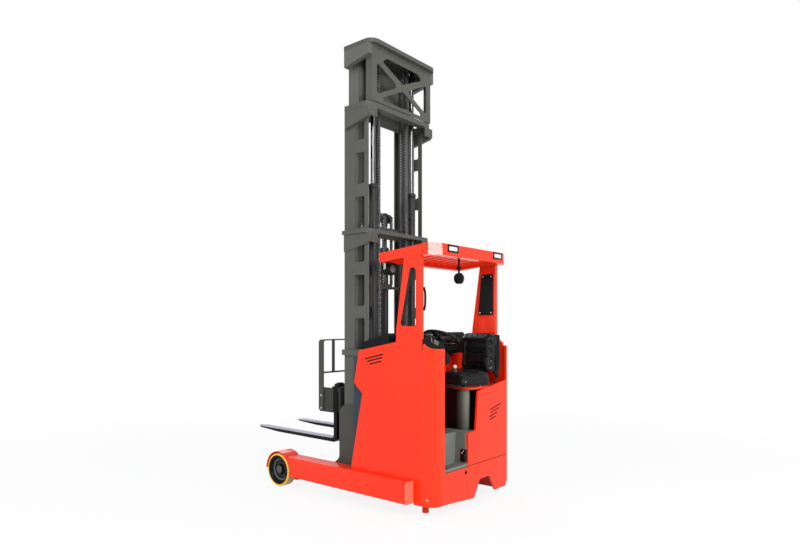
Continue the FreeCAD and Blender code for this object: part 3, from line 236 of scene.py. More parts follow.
# ------------------------------------------------------------------ finishes
PALE_STEEL = (0.36, 0.37, 0.36)
# chrome colours darkened: a painted reflection of the dark mast round the rods
CHROME_DARKENED_AS_REFLECTION = ((0.15, 0.157, 0.165), (0.10, 0.10, 0.098))
TYRE_TREAD = ((0.40, 0.31, 0.13), (0.52, 0.42, 0.20))
TYRE_FACE_Y = (0.6255, 0.6285)


def slot_painted_shade(r):
    """1 on the walls of the left pillar's slot, 0 elsewhere: where near-black painted shade goes.
    """
    x, y, z = r.parts()
    front = r.limit(z * -0.218 - x, 0.5745, 0.5755)
    behind = r.limit(x, -1.084, -1.083)
    inner = r.limit(y, 0.5492, 0.5486)
    return front * behind * inner * r.limit(z, 1.526, 1.528) * r.limit(z, 2.011, 2.009)


def leg_end_painted_highlight(r):
    """1 on the bevelled rear end of a leg, 0 elsewhere: where a pale painted highlight goes."""
    return r.limit(r.parts()[0], -1.030, -1.034)


def gloss_paint(name, colour, rough=0.3, dust=0.35, painted_light=None):
    """Sprayed gloss paint: orange peel, slight clouding, dust low down.

    The optional pair gives the function of a mask and the colour inside it, for painted shade or a
    painted highlight."""
    r = Recipe(name)
    normal, edge = r.edges(0.004)
    cloud = r.noise(2.2, 4.0)
    low = r.limit(r.parts()[2], 0.55, 0.02) * r.limit(cloud, 0.35, 0.75)
    base = r.mix(r.spread(cloud), darker(colour, 0.93), colour)
    base = r.mix(edge * 0.3, base, lighter(colour, 0.06))
    base = r.mix(low * dust * 0.3, base, (0.30, 0.06, 0.03))
    # inside the mask the colour is painted shade or a painted highlight
    if painted_light:
        mask, inside = painted_light
        base = r.mix(mask(r), base, inside)
    return r.finish(
        Base_Color=base, Roughness=r.spread(cloud, rough - 0.04, rough + 0.06) + low * 0.15,
        Normal=r.bump(r.noise(340.0, 2.0), 0.0002, 0.12, normal),
        Coat_Weight=0.32, Coat_Roughness=0.05, Specular_IOR_Level=0.1)


def satin_paint(name, colour, rough=0.48, wear=0.5, grain=0.3, head=None):
    """Satin paint on rolled steel: grain, paler worn edges, rubbed streaks.

    head gives a height and the colour of all that stands above it: the lit colour above the outer
    mast, where the darker colour below is painted shade."""
    r = Recipe(name)
    normal, edge = r.edges(0.003)
    cloud = r.noise(3.1, 4.0)
    streak = r.noise(26.0, 4.0, 0.6, (3.0, 3.0, 0.12))
    chip = r.limit(r.noise(70.0, 5.0, 0.65), 0.5, 0.64)
    base = r.mix(r.spread(cloud), darker(colour, 0.82), colour)
    # above the given height the darker colour, painted shade, gives way to the lit colour
    if head:
        level, above = head
        base = r.mix(r.limit(r.parts()[2], level, level + 0.01), base, above)
    base = r.mix(r.limit(streak, 0.55, 0.8) * 0.3, base, lighter(colour, 0.07))
    base = r.mix(edge * chip * wear, base, PALE_STEEL)
    base = r.mix(edge * 0.3, base, lighter(colour, 0.12))
    fine = r.noise(420.0, 2.0) * grain + r.noise(60.0, 3.0) * 0.15
    return r.finish(
        Base_Color=base, Roughness=r.spread(cloud, rough - 0.06, rough + 0.1) - edge * 0.1,
        Normal=r.bump(fine, 0.0004, 0.35, normal), Specular_IOR_Level=0.22)


def rolled_steel(name, colour, rough):
    """Bare oiled steel, rubbed along its length, darker where grease lies."""
    r = Recipe(name)
    normal, edge = r.edges(0.002)
    streak = r.noise(60.0, 4.0, 0.6, (4.0, 4.0, 0.06))
    grease = r.limit(r.noise(5.0, 4.0), 0.45, 0.7)
    base = r.mix(r.limit(streak, 0.3, 0.75), darker(colour, 0.6), lighter(colour, 0.1))
    base = r.mix(grease * 0.5, base, darker(colour, 0.25))
    base = r.mix(edge * 0.4, base, lighter(colour, 0.3))
    return r.finish(
        Base_Color=base, Metallic=0.85, Roughness=rough + grease * 0.15 + streak * 0.1,
        Normal=r.bump(streak, 0.0002, 0.3, normal))


def chrome(name):
    """Hard chrome of a cylinder's rod, with a thin oil film; its colour is darkened as a painted
    reflection of the dark mast round it.
    """
    r = Recipe(name)
    film = r.noise(40.0, 3.0, 0.5, (1.0, 1.0, 0.2))
    return r.finish(
        Base_Color=r.mix(r.limit(film, 0.4, 0.7), *CHROME_DARKENED_AS_REFLECTION), Metallic=1.0,
        Roughness=r.limit(film, 0.3, 0.8, 0.08, 0.22))


def moulded(name, colour, rough, grain=1.0):
    """Moulded plastic with a fine leathery grain."""
    r = Recipe(name)
    normal, edge = r.edges(0.003)
    cloud = r.noise(4.0, 3.0)
    base = r.mix(r.spread(cloud), darker(colour, 0.8), lighter(colour, 0.002))
    base = r.mix(edge * 0.4, base, lighter(colour, 0.03))
    return r.finish(
        Base_Color=base, Roughness=r.spread(cloud, rough - 0.05, rough + 0.08),
        Specular_IOR_Level=0.09, Normal=r.bump(r.cells(480.0), 0.0003, 0.35 * grain, normal))


def gloss_moulding(name, colour, rough=0.16):
    """Smooth glossy moulding with faint waves and wiping marks."""
    r = Recipe(name)
    normal, edge = r.edges(0.004)
    wipe = r.limit(r.noise(30.0, 5.0, 0.7, (1.0, 1.0, 0.4)), 0.45, 0.8)
    base = r.mix(wipe * 0.5, colour, lighter(colour, 0.006))
    base = r.mix(edge * 0.3, base, lighter(colour, 0.03))
    return r.finish(
        Base_Color=base, Roughness=rough + wipe * 0.14, Specular_IOR_Level=0.16,
        Normal=r.bump(r.noise(9.0, 2.0), 0.0015, 0.2, normal),
        Coat_Weight=0.2, Coat_Roughness=0.06)


def pedestal_gloss(name, colour, pedestal_highlight_colour):
    """Glossy moulding with wiping marks, and a pale painted highlight that grows towards its
    rounded corner.
    """
    r = Recipe(name)
    normal = r.edges(0.004)[0]
    x, y, z = r.parts()
    wipe = r.limit(r.noise(26.0, 5.0, 0.7, (1.0, 1.0, 0.15)), 0.3, 0.8)
    # where the pale painted highlight lies: towards the rounded corner, growing upwards
    corner = r.limit(x, -1.065, -1.178) * r.limit(y, -0.088, -0.070)
    pedestal_highlight = corner * r.limit(z, 0.50, 0.95, 0.35, 1.0)
    base = r.mix(wipe * 0.4, colour, lighter(colour, 0.004))
    base = r.mix(pedestal_highlight * (wipe * 0.25 + 0.75), base, pedestal_highlight_colour)
    return r.finish(
        Base_Color=base, Roughness=wipe * 0.12 + 0.16, Specular_IOR_Level=0.12,
        Normal=r.bump(r.noise(9.0, 2.0), 0.0012, 0.2, normal),
        Coat_Weight=0.15, Coat_Roughness=0.06)


def grained_cover(name, colour):
    """Seat cover with leather grain, shinier where it is rubbed."""
    r = Recipe(name)
    place = r.place()
    grain = r.cells(330.0, place)
    small = r.cells(800.0, place)
    rubbed = r.limit(r.noise(7.0, vector=place), 0.4, 0.7)
    base = r.mix(r.limit(grain, 0.0, 0.12), darker(colour, 0.5), colour)
    base = r.mix(rubbed * 0.4, base, lighter(colour, 0.004))
    height = r.limit(grain, 0.0, 0.3) * 0.7 + r.limit(small, 0.0, 0.3) * 0.3
    height = height + r.noise(25.0, vector=place) * 0.5
    return r.finish(
        Base_Color=base, Roughness=r.limit(rubbed, 0.0, 1.0, 0.30, 0.21),
        Normal=r.bump(height, 0.0004, 0.25), Specular_IOR_Level=0.17)


def fork_paint(name, colour, top):
    """Black paint of a fork, rubbed to pale steel on the top of its blade."""
    r = Recipe(name)
    normal, edge = r.edges(0.004)
    x, _, z = r.parts()
    rub = r.noise(9.0, 5.0, 0.65, (0.4, 3.0, 1.0))
    bare = r.limit(z, top - 0.003, top - 0.0005) * r.limit(x, 0.11, 0.16)
    base = r.mix(r.spread(r.noise(6.0, 4.0)), darker(colour, 0.7), colour)
    base = r.mix(edge * 0.4, base, (0.08, 0.08, 0.10))
    base = r.mix(bare * r.limit(rub, 0.25, 0.5) * 0.85, base, (0.36, 0.36, 0.48))
    return r.finish(
        Base_Color=base, Roughness=r.spread(rub, 0.34, 0.5), Specular_IOR_Level=0.14,
        Normal=r.bump(r.noise(60.0, 3.0), 0.0003, 0.3, normal))


def cast_tyre(name, colour):
    """Cast polyurethane with a dirty running face."""
    r = Recipe(name)
    cloud = r.noise(14.0, 4.0)
    speck = r.limit(r.noise(160.0, 4.0, 0.7), 0.56, 0.72)
    base = r.mix(r.spread(cloud), *TYRE_TREAD)
    base = r.mix(speck * 0.5, base, (0.06, 0.05, 0.04))
    base = r.mix(r.limit(r.maths("ABSOLUTE", r.parts()[1]), *TYRE_FACE_Y), base, colour)
    return r.finish(
        Base_Color=base, Roughness=r.spread(cloud, 0.38, 0.55),
        Normal=r.bump(r.noise(220.0, 3.0), 0.0004, 0.4))


def rubber(name, colour=(0.007, 0.007, 0.0075), rough=0.6):
    """Black rubber, slightly dusty."""
    r = Recipe(name)
    dust = r.limit(r.noise(12.0, 5.0, 0.65), 0.4, 0.75)
    return r.finish(
        Base_Color=r.mix(dust * 0.5, colour, (0.025, 0.024, 0.022)),
        Roughness=dust * 0.15 + rough, Specular_IOR_Level=0.2,
        Normal=r.bump(r.noise(300.0, 3.0), 0.0003, 0.5))


def lens(name, colour):
    """Lamp lens with moulded ribs under a smooth face."""
    r = Recipe(name)
    _, y, z = r.parts()
    ribs = r.maths("SINE", (y + z) * 900.0)
    return r.finish(
        Base_Color=r.mix(r.limit(ribs, -1.0, 1.0), darker(colour, 0.7), lighter(colour, 0.1)),
        Roughness=r.spread(r.noise(30.0, 3.0), 0.12, 0.2), Normal=r.bump(ribs, 0.0006, 0.3),
        Coat_Weight=0.6, Coat_Roughness=0.05)


def webbing(name, colour):
    """Woven strap: a fine twill."""
    r = Recipe(name)
    x, y, z = r.parts()
    weave = r.maths("SINE", (x + z) * 2600.0) * r.maths("SINE", (y - z) * 2600.0)
    return r.finish(
        Base_Color=r.mix(r.limit(weave, -1.0, 1.0), darker(colour, 0.6), lighter(colour, 0.06)),
        Roughness=r.limit(weave, -1.0, 1.0, 0.6, 0.75),
        Normal=r.bump(weave, 0.0004, 0.6), Specular_IOR_Level=0.1)


MATERIALS = {}


def make_materials():
    f = bpy.context.scene.truck_finishes
    # the rails inside the outer mast get a darker copy of the mast paint: painted shade
    rail = darker(f.mast, 0.55)
    MATERIALS.update({
        "body": gloss_paint("body_paint", f.body),
        # the walls of the pillar's slot get near-black painted shade
        "pillar": gloss_paint("pillar_paint", f.body, painted_light=(slot_painted_shade, (0.006, 0.006, 0.006))),
        # the bevelled end of each leg gets a pale red painted highlight
        "leg": gloss_paint("leg_paint", f.body, painted_light=(leg_end_painted_highlight, (0.92, 0.15, 0.095))),
        # a darker copy of the body paint for the chassis frame inside the body: painted shade
        "body_painted_shade": gloss_paint("body_paint_inside", darker(f.body, 0.8), 0.4, 0.6),
        "mast": satin_paint("mast_paint", f.mast),
        "reach": satin_paint("reach_paint", darker(f.mast, 0.62)),
        "mast_inside_painted_shade": satin_paint("rail_paint", rail, 0.42, 0.9),
        # above the outer mast's top the middle rails get the lit mast colour back; below it the
        # darker colour is painted shade
        "middle": satin_paint(
            "middle_rail_paint", rail, 0.42, 0.9, head=(3.515, lighter(f.mast, 0.02))),
        "carriage": satin_paint("carriage_paint", darker(f.mast, 0.42), 0.45, 0.6),
        "chain": rolled_steel("chain_steel", (0.06, 0.057, 0.053), 0.4),
        "bolt": rolled_steel("zinc_steel", (0.46, 0.46, 0.44), 0.28),
        "pin": rolled_steel("chain_pins", (0.5, 0.5, 0.48), 0.3),
        "step": satin_paint("step_paint", f.step, 0.5, 0.4, 0.8),
        "mat": satin_paint("mat_rubber", darker(f.step, 0.8), 0.62, 0.2, 0.9),
        "fork": fork_paint("fork_paint", (0.005, 0.005, 0.006), 0.465),
        "cylinder": satin_paint("cylinder_paint", (0.016, 0.0165, 0.017), 0.32, 0.3),
        "battery": satin_paint("battery_paint", f.battery, 0.42, 0.4),
        # a darker copy of the body red along the side louvres' tails: painted shade
        "vent_tail": satin_paint("vent_edge_paint", (0.35, 0.01, 0.006)),
        "chrome": chrome("hard_chrome"),
        "plastic": moulded("black_moulding", (0.0045, 0.005, 0.0058), 0.42),
        "cover": moulded("pillar_gloss", (0.0035, 0.0045, 0.005), 0.3, 0.3),
        "grey_plastic": moulded("grey_moulding", (0.22, 0.22, 0.225), 0.4),
        "console": moulded("console_moulding", (0.0045, 0.0045, 0.0042), 0.34),
        "gloss": gloss_moulding("gloss_moulding", (0.003, 0.0032, 0.0036)),
        "red_plastic": gloss_moulding("red_knob", (0.6, 0.01, 0.008), 0.25),
        "white_plastic": gloss_moulding("white_knob", (0.78, 0.78, 0.76), 0.3),
        "tinted": gloss_moulding("tinted_window", (0.115, 0.098, 0.062), 0.12),
        # the pale third colour is a painted highlight
        "pedestal": pedestal_gloss(
            "pedestal_gloss", (0.003, 0.003, 0.0028), (0.25, 0.255, 0.205)),
        "vinyl": grained_cover("seat_vinyl", f.vinyl),
        "piping": grained_cover("seat_piping", darker(f.vinyl, 0.7)),
        "tyre": cast_tyre("load_tyre", f.tyre),
        "rubber": rubber("black_rubber"),
        "gap": rubber("shadow_gap", (0.012, 0.0025, 0.0022), 0.8),
        "rim": moulded("rim_paint", (0.0035, 0.0035, 0.004), 0.35, 0.4),
        "disc": satin_paint("disc_paint", (0.012, 0.012, 0.012), 0.35, 0.5),
        "hub": satin_paint("hub_paint", (0.085, 0.085, 0.08), 0.35, 0.5),
        "clear_lens": lens("clear_lens", (0.75, 0.76, 0.78)),
        "amber_lens": lens("amber_lens", (0.8, 0.25, 0.02)),
        "smoked_lens": lens("smoked_lens", (0.010, 0.011, 0.012)),
        "webbing": webbing("belt_webbing", (0.009, 0.0095, 0.010)),
        "thread": webbing("seat_thread", (0.05, 0.052, 0.055)),
    })


NODE_FINISH = {
    "leg": "left_leg right_leg",
    "body": "left_side_panel right_side_panel rear_left_corner rear_panel rear_skirt seat_deck"
            " right_pillar guard_frame guard_slats",
    "pillar": "left_pillar",
    # the chassis frame gets the darker body paint of painted shade
    "body_painted_shade": "chassis_frame",
    "mast": "outer_mast_left outer_mast_right outer_mast_brackets mast_head_brace",
    "reach": "reach_carriage load_backrest",
    # these rails carry painted shade in their darker copy of the mast paint
    "middle": "middle_mast_left middle_mast_right middle_mast_bars",
    "mast_inside_painted_shade": "inner_mast_left inner_mast_right inner_mast_bars",
    "carriage": "drive_unit seat_frame lift_carriage tilt_frame fork_carriage",
    "cylinder": "lift_cylinders free_lift_cylinder free_lift_head",
    "chrome": "lift_rods reach_rod tilt_rod",
    "fork": "left_fork right_fork",
    "step": "step_floor",
    "battery": "battery",
    "plastic": "front_hood steering_console control_console steering_wheel guard_lamps",
    "pedestal": "seat_base",
    "cover": "pillar_cover",
    "vinyl": "seat_cushion seat_backrest",
    "tyre": "left_load_tyre right_load_tyre",
    "rubber": "drive_tyre",
    "rim": "left_load_rim right_load_rim drive_rim",
    "clear_lens": "rear_lights",
}


class TRUCK_OT_finishes(bpy.types.Operator):
    """Makes the truck's finishes and puts one on each part"""

    bl_idname = "truck.finishes"
    bl_label = "Paint the parts"

    def execute(self, context):
        make_materials()
        painted = {name: finish for finish, names in NODE_FINISH.items() for name in names.split()}
        for name in sorted(NODES):
            if name not in painted:
                raise RuntimeError(f"no finish for {name}")
            slots = NODES[name].data.materials
            slots.clear()
            slots.append(MATERIALS[painted[name]])
        return {"FINISHED"}


# ------------------------------------------------------------------ mesh helpers
def gathered(shapes):
    """One set of points and faces from several."""
    vertices, faces = [], []
    for more_vertices, more_faces in shapes:
        start = len(vertices)
        vertices += [tuple(v) for v in more_vertices]
        faces += [tuple(i + start for i in face) for face in more_faces]
    return vertices, faces


def dressed(piece, finish, body, smooth):
    """Puts one finish on a piece and sets it on a body."""
    mesh = piece.data
    mesh.materials.clear()
    mesh.materials.append(MATERIALS[finish])
    for face in mesh.polygons:
        face.use_smooth = smooth
        face.material_index = 0
    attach(piece, body)
    return piece


def linked(name, mesh):
    piece = bpy.data.objects.new(name, mesh)
    bpy.context.scene.collection.objects.link(piece)
    return piece


def fitted(name, shapes, finish, body="chassis", smooth=True):
    """A smooth piece from one shape or several, riding on a body."""
    mesh = bpy.data.meshes.new(name)
    vertices, faces = gathered(shapes if isinstance(shapes, list) else [shapes])
    mesh.from_pydata(vertices, [], faces)
    return dressed(linked(name, mesh), finish, body, smooth)


def faceted(name, shapes, finish, body="chassis"):
    """The same with flat faces."""
    return fitted(name, shapes, finish, body, False)


def frozen(piece):
    """The piece with its modifiers applied, as a plain mesh."""
    graph = bpy.context.evaluated_depsgraph_get()
    graph.update()
    mesh = bpy.data.meshes.new_from_object(piece.evaluated_get(graph))
    piece.modifiers.clear()
    piece.data = mesh
    return piece


def circle(middle, side, up, radius, sides):
    return [middle + (side * math.cos(a) + up * math.sin(a)) * radius
            for a in (2 * math.pi * k / sides for k in range(sides))]


def lofted(rings, caps=True):
    """Points and faces of a skin through rings of equal length."""
    count = len(rings[0])
    vertices = [point for ring in rings for point in ring]
    faces = []
    for a in range(0, len(vertices) - count, count):
        for j in range(count):
            k = (j + 1) % count
            faces.append((a + j, a + k, a + count + k, a + count + j))
    if caps:
        faces.append(tuple(reversed(range(count))))
        faces.append(tuple(range(len(vertices) - count, len(vertices))))
    return vertices, faces


def bent_tube(path, radius, sides=10, ends=True):
    """Points and faces of a round bar along a path of points."""
    points = [Vector(p) for p in path]
    radii = radius if isinstance(radius, list) else [radius] * len(points)
    rings = []
    side = None
    for i, point in enumerate(points):
        ahead = points[min(i + 1, len(points) - 1)] - points[max(i - 1, 0)]
        ahead.normalize()
        if side is None:
            side = ahead.orthogonal().normalized()
        side = (side - ahead * side.dot(ahead)).normalized()
        rings.append(circle(point, side, ahead.cross(side), radii[i], sides))
    return lofted(rings, ends)


def turned_shape(profile, origin, axis, sides=32):
    """Points and faces of a profile of (distance along axis, radius) pairs turned about it."""
    axis = Vector(axis).normalized()
    side = axis.orthogonal().normalized()
    up = axis.cross(side)
    return lofted([
        circle(Vector(origin) + axis * along, side, up, radius, sides)
        for along, radius in profile])


def rounded_block(low, high, radius=0.003, segments=3, turn=None):
    """Points and faces of a block with rounded edges, turned about its middle."""
    low, high = Vector(low), Vector(high)
    work = bmesh.new()
    bmesh.ops.create_cube(work, size=1.0)
    size = high - low
    for vertex in work.verts:
        vertex.co = Vector(a * b for a, b in zip(vertex.co, size))
    bmesh.ops.bevel(
        work, geom=list(work.edges), offset=min(radius, min(size) * 0.49), segments=segments,
        profile=0.5, affect="EDGES")
    middle = (low + high) / 2
    turn = turn or Matrix.Identity(3)
    vertices = [turn @ v.co + middle for v in work.verts]
    work.verts.index_update()
    faces = [tuple(v.index for v in f.verts) for f in work.faces]
    work.free()
    return vertices, faces


def block_at(middle, half, radius, segments, turn=None):
    """A rounded block given by its middle and its half sizes."""
    middle, half = Vector(middle), Vector(half)
    return rounded_block(middle - half, middle + half, radius, segments, turn)


def catmull(points, steps=6):
    """A smooth line through the points."""
    points = [Vector(p) for p in points]
    line = []
    for i in range(len(points) - 1):
        before = points[max(i - 1, 0)]
        start, end = points[i], points[i + 1]
        after = points[min(i + 2, len(points) - 1)]
        for k in range(steps):
            t = k / steps
            line.append(0.5 * (
                2 * start + (end - before) * t
                + (2 * before - 5 * start + 4 * end - after) * t * t
                + (3 * start - before - 3 * end + after) * t ** 3))
    line.append(points[-1])
    return line


# ------------------------------------------------------------------ repeated pieces
class Tree(Graph):
    """A geometry tree."""

    def __init__(self, name, *numbers):
        super().__init__(bpy.data.node_groups.new(name, "GeometryNodeTree"))
        sockets = [("Geometry", "OUTPUT", "Geometry"), ("Geometry", "INPUT", "Geometry")]
        sockets += [(label, "INPUT", "Int" if label == "Sides" else "Float") for label in numbers]
        for label, way, kind in sockets + [("Finish", "INPUT", "Material")]:
            self.tree.interface.new_socket(label, in_out=way, socket_type=f"NodeSocket{kind}")
        start = self.tree.nodes.new("NodeGroupInput")
        self.given = {socket.name: Value(self, socket) for socket in start.outputs}

    def cylinder(self, sides, radius, depth):
        return self.node(
            "GeometryNodeMeshCylinder", {"Vertices": sides, "Radius": radius, "Depth": depth})

    def moved(self, geometry, axis, distance):
        shift = self.node("ShaderNodeCombineXYZ", {axis: distance})
        return self.node("GeometryNodeTransform", {"Geometry": geometry, "Translation": shift})

    def join(self, shapes):
        made = self.tree.nodes.new("GeometryNodeJoinGeometry")
        for shape in shapes:
            self.tree.links.new(shape.socket, made.inputs[0])
        return Value(self, made.outputs[0])

    def copies(self, shape, **sockets):
        """A copy of a shape on every point."""
        return self.node("GeometryNodeInstanceOnPoints", dict(
            sockets, Points=self.given["Geometry"], Instance=shape))

    def facing(self):
        """The turn that brings a shape's height to the way that its point says."""
        way = self.node(
            "GeometryNodeInputNamedAttribute", {"Name": "facing"}, data_type="FLOAT_VECTOR")
        return self.node("FunctionNodeAlignRotationToVector", {"Vector": way}, axis="Z")

    def close(self, geometry):
        """Realizes the copies, sets their finish and ends the tree."""
        real = self.node("GeometryNodeRealizeInstances", {0: geometry})
        painted = self.node(
            "GeometryNodeSetMaterial", {"Geometry": real, "Material": self.given["Finish"]})
        self.node("NodeGroupOutput", {0: painted})
        return self.tree


def grown(name, points, tree, inputs, finish, body):
    """Runs a tree on loose points that each face a way, and keeps a plain mesh."""
    carrier = bpy.data.meshes.new(name)
    carrier.from_pydata([tuple(p) for p, way in points], [], [])
    facing = carrier.attributes.new("facing", "FLOAT_VECTOR", "POINT")
    for item, (p, way) in zip(facing.data, points):
        item.vector = Vector(way).normalized()
    piece = linked(name, carrier)
    modifier = piece.modifiers.new("grow", "NODES")
    modifier.node_group = tree
    wanted = dict(inputs, Finish=MATERIALS[finish])
    for item in tree.interface.items_tree:
        if item.in_out == "INPUT" and item.name in wanted:
            modifier[item.identifier] = wanted[item.name]
    mesh = frozen(piece).data
    if not mesh.polygons:
        raise RuntimeError(f"{name} came out empty")
    work = bmesh.new()
    work.from_mesh(mesh)
    bmesh.ops.remove_doubles(work, verts=work.verts, dist=1e-6)
    work.to_mesh(mesh)
    work.free()
    return dressed(piece, finish, body, False)


def bolt_tree():
    """A washer and a domed head on every point, facing the way the point says."""
    t = Tree("bolts", "Head radius", "Head height", "Washer radius", "Sides")
    sides, radius, height = (t.given[label] for label in ("Sides", "Head radius", "Head height"))
    head = t.cylinder(sides, radius, height)
    dome = t.node("GeometryNodeMeshCone", {
        "Vertices": sides, "Radius Bottom": radius, "Radius Top": radius * 0.78,
        "Depth": height * 0.18})
    washer = t.cylinder(20, t.given["Washer radius"], height * 0.5)
    whole = t.join((t.moved(head, "Z", height * 0.75), t.moved(dome, "Z", height * 1.25), washer))
    return t.close(t.copies(whole, Rotation=t.facing()))


# ------------------------------------------------------------------ the seat
SEAT_YAW = math.radians(-12.0)
SEAT_COS, SEAT_SIN = math.cos(SEAT_YAW), math.sin(SEAT_YAW)
SEAT_TURN = Matrix.Rotation(SEAT_YAW, 3, "Z")
SEAT_REAR = (-1.0466, -0.3646)
CUSHION_HALF = 0.204
CUSHION_FRONT = 0.400
CUSHION_BOTTOM = 1.020
CUSHION_TOP = 1.140
CUSHION_PULL = 0.046
CUSHION_FALL = 0.040
BACK_HALF = 0.200
BACK_BOTTOM = 1.115
BACK_TOP = 1.480
BACK_LEAN = math.tan(math.radians(3.0))
COVER_SHRINK = 0.986
THREAD_WIDTH = 0.0013
PIPING_RADIUS = 0.003
AIR_FRAMES = 20


def seat_point(u, v, z):
    """A point given across the seat, forward of its rear edge, and up."""
    return Vector((SEAT_REAR[0] + u * SEAT_COS - v * SEAT_SIN,
                   SEAT_REAR[1] + u * SEAT_SIN + v * SEAT_COS, z))


SEAT_FORWARD = seat_point(0, 1, 0) - seat_point(0, 0, 0)
SEAT_ACROSS = seat_point(1, 0, 0) - seat_point(0, 0, 0)


def seat_shares(places):
    """The same two distances for many places in the truck."""
    x, y = places[:, 0] - SEAT_REAR[0], places[:, 1] - SEAT_REAR[1]
    return x * SEAT_COS + y * SEAT_SIN, y * SEAT_COS - x * SEAT_SIN


def seat_places(u, v, z):
    """Places in the truck of distances across and along the seat."""
    return np.stack((SEAT_REAR[0] + u * SEAT_COS - v * SEAT_SIN,
                     SEAT_REAR[1] + u * SEAT_SIN + v * SEAT_COS, z), axis=1)


def mesh_arrays(mesh):
    """Places and normals of a mesh's points."""
    count = len(mesh.vertices)
    places, normals = np.empty(count * 3, np.float32), np.empty(count * 3, np.float32)
    mesh.vertices.foreach_get("co", places)
    mesh.vertex_normals.foreach_get("vector", normals)
    return places.reshape(-1, 3).astype(float), normals.reshape(-1, 3).astype(float)


def set_places(mesh, places):
    mesh.vertices.foreach_set("co", places.astype(np.float32).ravel())
    mesh.update()


def rounded_over(u, v, w, half, near, far, corner, top, radius):
    """Rolls the top edge of a block over, by so much of a circle, all round.

    u runs across, v from near to far, w up to top. Gives back the three
    distances after the roll; half and corner give the block's outline."""
    middle = (near + far) / 2
    a, b = np.abs(u) - (half - corner), np.abs(v - middle) - ((far - near) / 2 - corner)
    out_a, out_b = np.maximum(a, 0), np.maximum(b, 0)
    away = np.hypot(out_a, out_b)
    inside = away < 1e-9
    edge = corner - np.where(inside, np.maximum(a, b), away)
    way_a = np.where(inside, (a >= b) * 1.0, out_a / np.maximum(away, 1e-9)) * np.sign(u)
    way_b = np.where(inside, (a < b) * 1.0, out_b / np.maximum(away, 1e-9)) * np.sign(v - middle)
    along = np.clip(radius - edge, 0, radius)
    rise = np.clip(w - (top - radius), 0, None)
    share = np.maximum(along, rise) / np.maximum(np.hypot(along, rise), 1e-9)
    pull = along - along * share
    return u - way_a * pull, v - way_b * pull, w - (rise - rise * share)


def rolled_cushion(places):
    """The cushion's block with its top edge rolled over and its front lowered."""
    u, v = seat_shares(places)
    share = np.clip((places[:, 2] - CUSHION_BOTTOM) / (CUSHION_TOP - CUSHION_BOTTOM), 0, 1)
    fore = np.clip(v / CUSHION_FRONT, 0, 1)
    return seat_places(*rounded_over(
        u, v - CUSHION_PULL * fore, places[:, 2] - CUSHION_FALL * share * fore, CUSHION_HALF, 0.0,
        CUSHION_FRONT - CUSHION_PULL, 0.095, CUSHION_TOP - CUSHION_FALL * fore, 0.068))


def rolled_back(places):
    """The backrest's block with its front edge rolled over."""
    u, v = seat_shares(places)
    lean = (places[:, 2] - BACK_BOTTOM) * BACK_LEAN
    u, w, v = rounded_over(
        u, places[:, 2], v + lean, BACK_HALF, BACK_BOTTOM, BACK_TOP, 0.075, 0.008, 0.045)
    return seat_places(u, v - lean, w)


def blown(piece, held_below):
    """Fills a cover with air by cloth, and gives how far each of its points moved."""
    start = mesh_arrays(piece.data)[0]
    held = piece.vertex_groups.new(name="held")
    held.add([i for i, z in enumerate(start[:, 2]) if z < held_below], 1.0, "REPLACE")
    cloth = piece.modifiers.new("air", "CLOTH")
    cover = cloth.settings
    cover.quality = 5
    cover.mass = 0.3
    cover.use_pressure = True
    cover.uniform_pressure_force = 4.0
    cover.vertex_group_mass = "held"
    cover.effector_weights.gravity = 0.0
    cloth.collision_settings.use_collision = False
    cloth.point_cache.frame_start = 1
    cloth.point_cache.frame_end = AIR_FRAMES
    scene = bpy.context.scene
    for number in range(1, AIR_FRAMES + 1):
        scene.frame_set(number)
    graph = bpy.context.evaluated_depsgraph_get()
    swollen = piece.evaluated_get(graph)
    moved = mesh_arrays(swollen.to_mesh())[0] - start
    swollen.to_mesh_clear()
    piece.modifiers.clear()
    piece.vertex_groups.clear()
    scene.frame_set(1)
    return moved


def puffed(name, node, held_below, rolled):
    """A finely meshed cover round a soft part, filled with air, of a smooth skin."""
    mesh = NODES[node].data.copy()
    work = bmesh.new()
    work.from_mesh(mesh)
    bmesh.ops.remove_doubles(work, verts=work.verts, dist=1e-5)
    bmesh.ops.recalc_face_normals(work, faces=work.faces)
    work.to_mesh(mesh)
    work.free()
    places = mesh_arrays(mesh)[0]
    middle = (places.min(axis=0) + places.max(axis=0)) / 2
    middle[2] = places[:, 2].min()
    set_places(mesh, middle + (places - middle) * COVER_SHRINK)
    piece = linked(name, mesh)
    skin = piece.modifiers.new("skin", "REMESH")
    skin.mode = "VOXEL"
    skin.voxel_size = sizes().voxel
    soften = piece.modifiers.new("soften", "SMOOTH")
    soften.factor = 0.5
    soften.iterations = 14
    frozen(piece)
    set_places(piece.data, rolled(mesh_arrays(piece.data)[0]))
    start, normals = mesh_arrays(piece.data)
    moved = blown(piece, held_below)
    way = np.linalg.norm(moved, axis=1)
    cap = sizes().swell
    share = np.where(way > 1e-9, cap * np.tanh(way / cap) / np.maximum(way, 1e-9), 0.0)
    set_places(piece.data, start + moved * share[:, None])
    fine = piece.modifiers.new("fine", "SUBSURF")
    fine.levels = 1
    fine.render_levels = 1
    return frozen(piece)


def dent(distance, width):
    return np.exp(-(distance / width) ** 2)


def pressed(piece, shape, facing):
    """Moves points along the way the cover faces, by a height worked out from their place."""
    places, normals = mesh_arrays(piece.data)
    set_places(piece.data, places + facing[None, :] * shape(places, normals)[:, None])


def upholstered(piece, node):
    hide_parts(node)
    dressed(piece, "vinyl", "chassis", True)


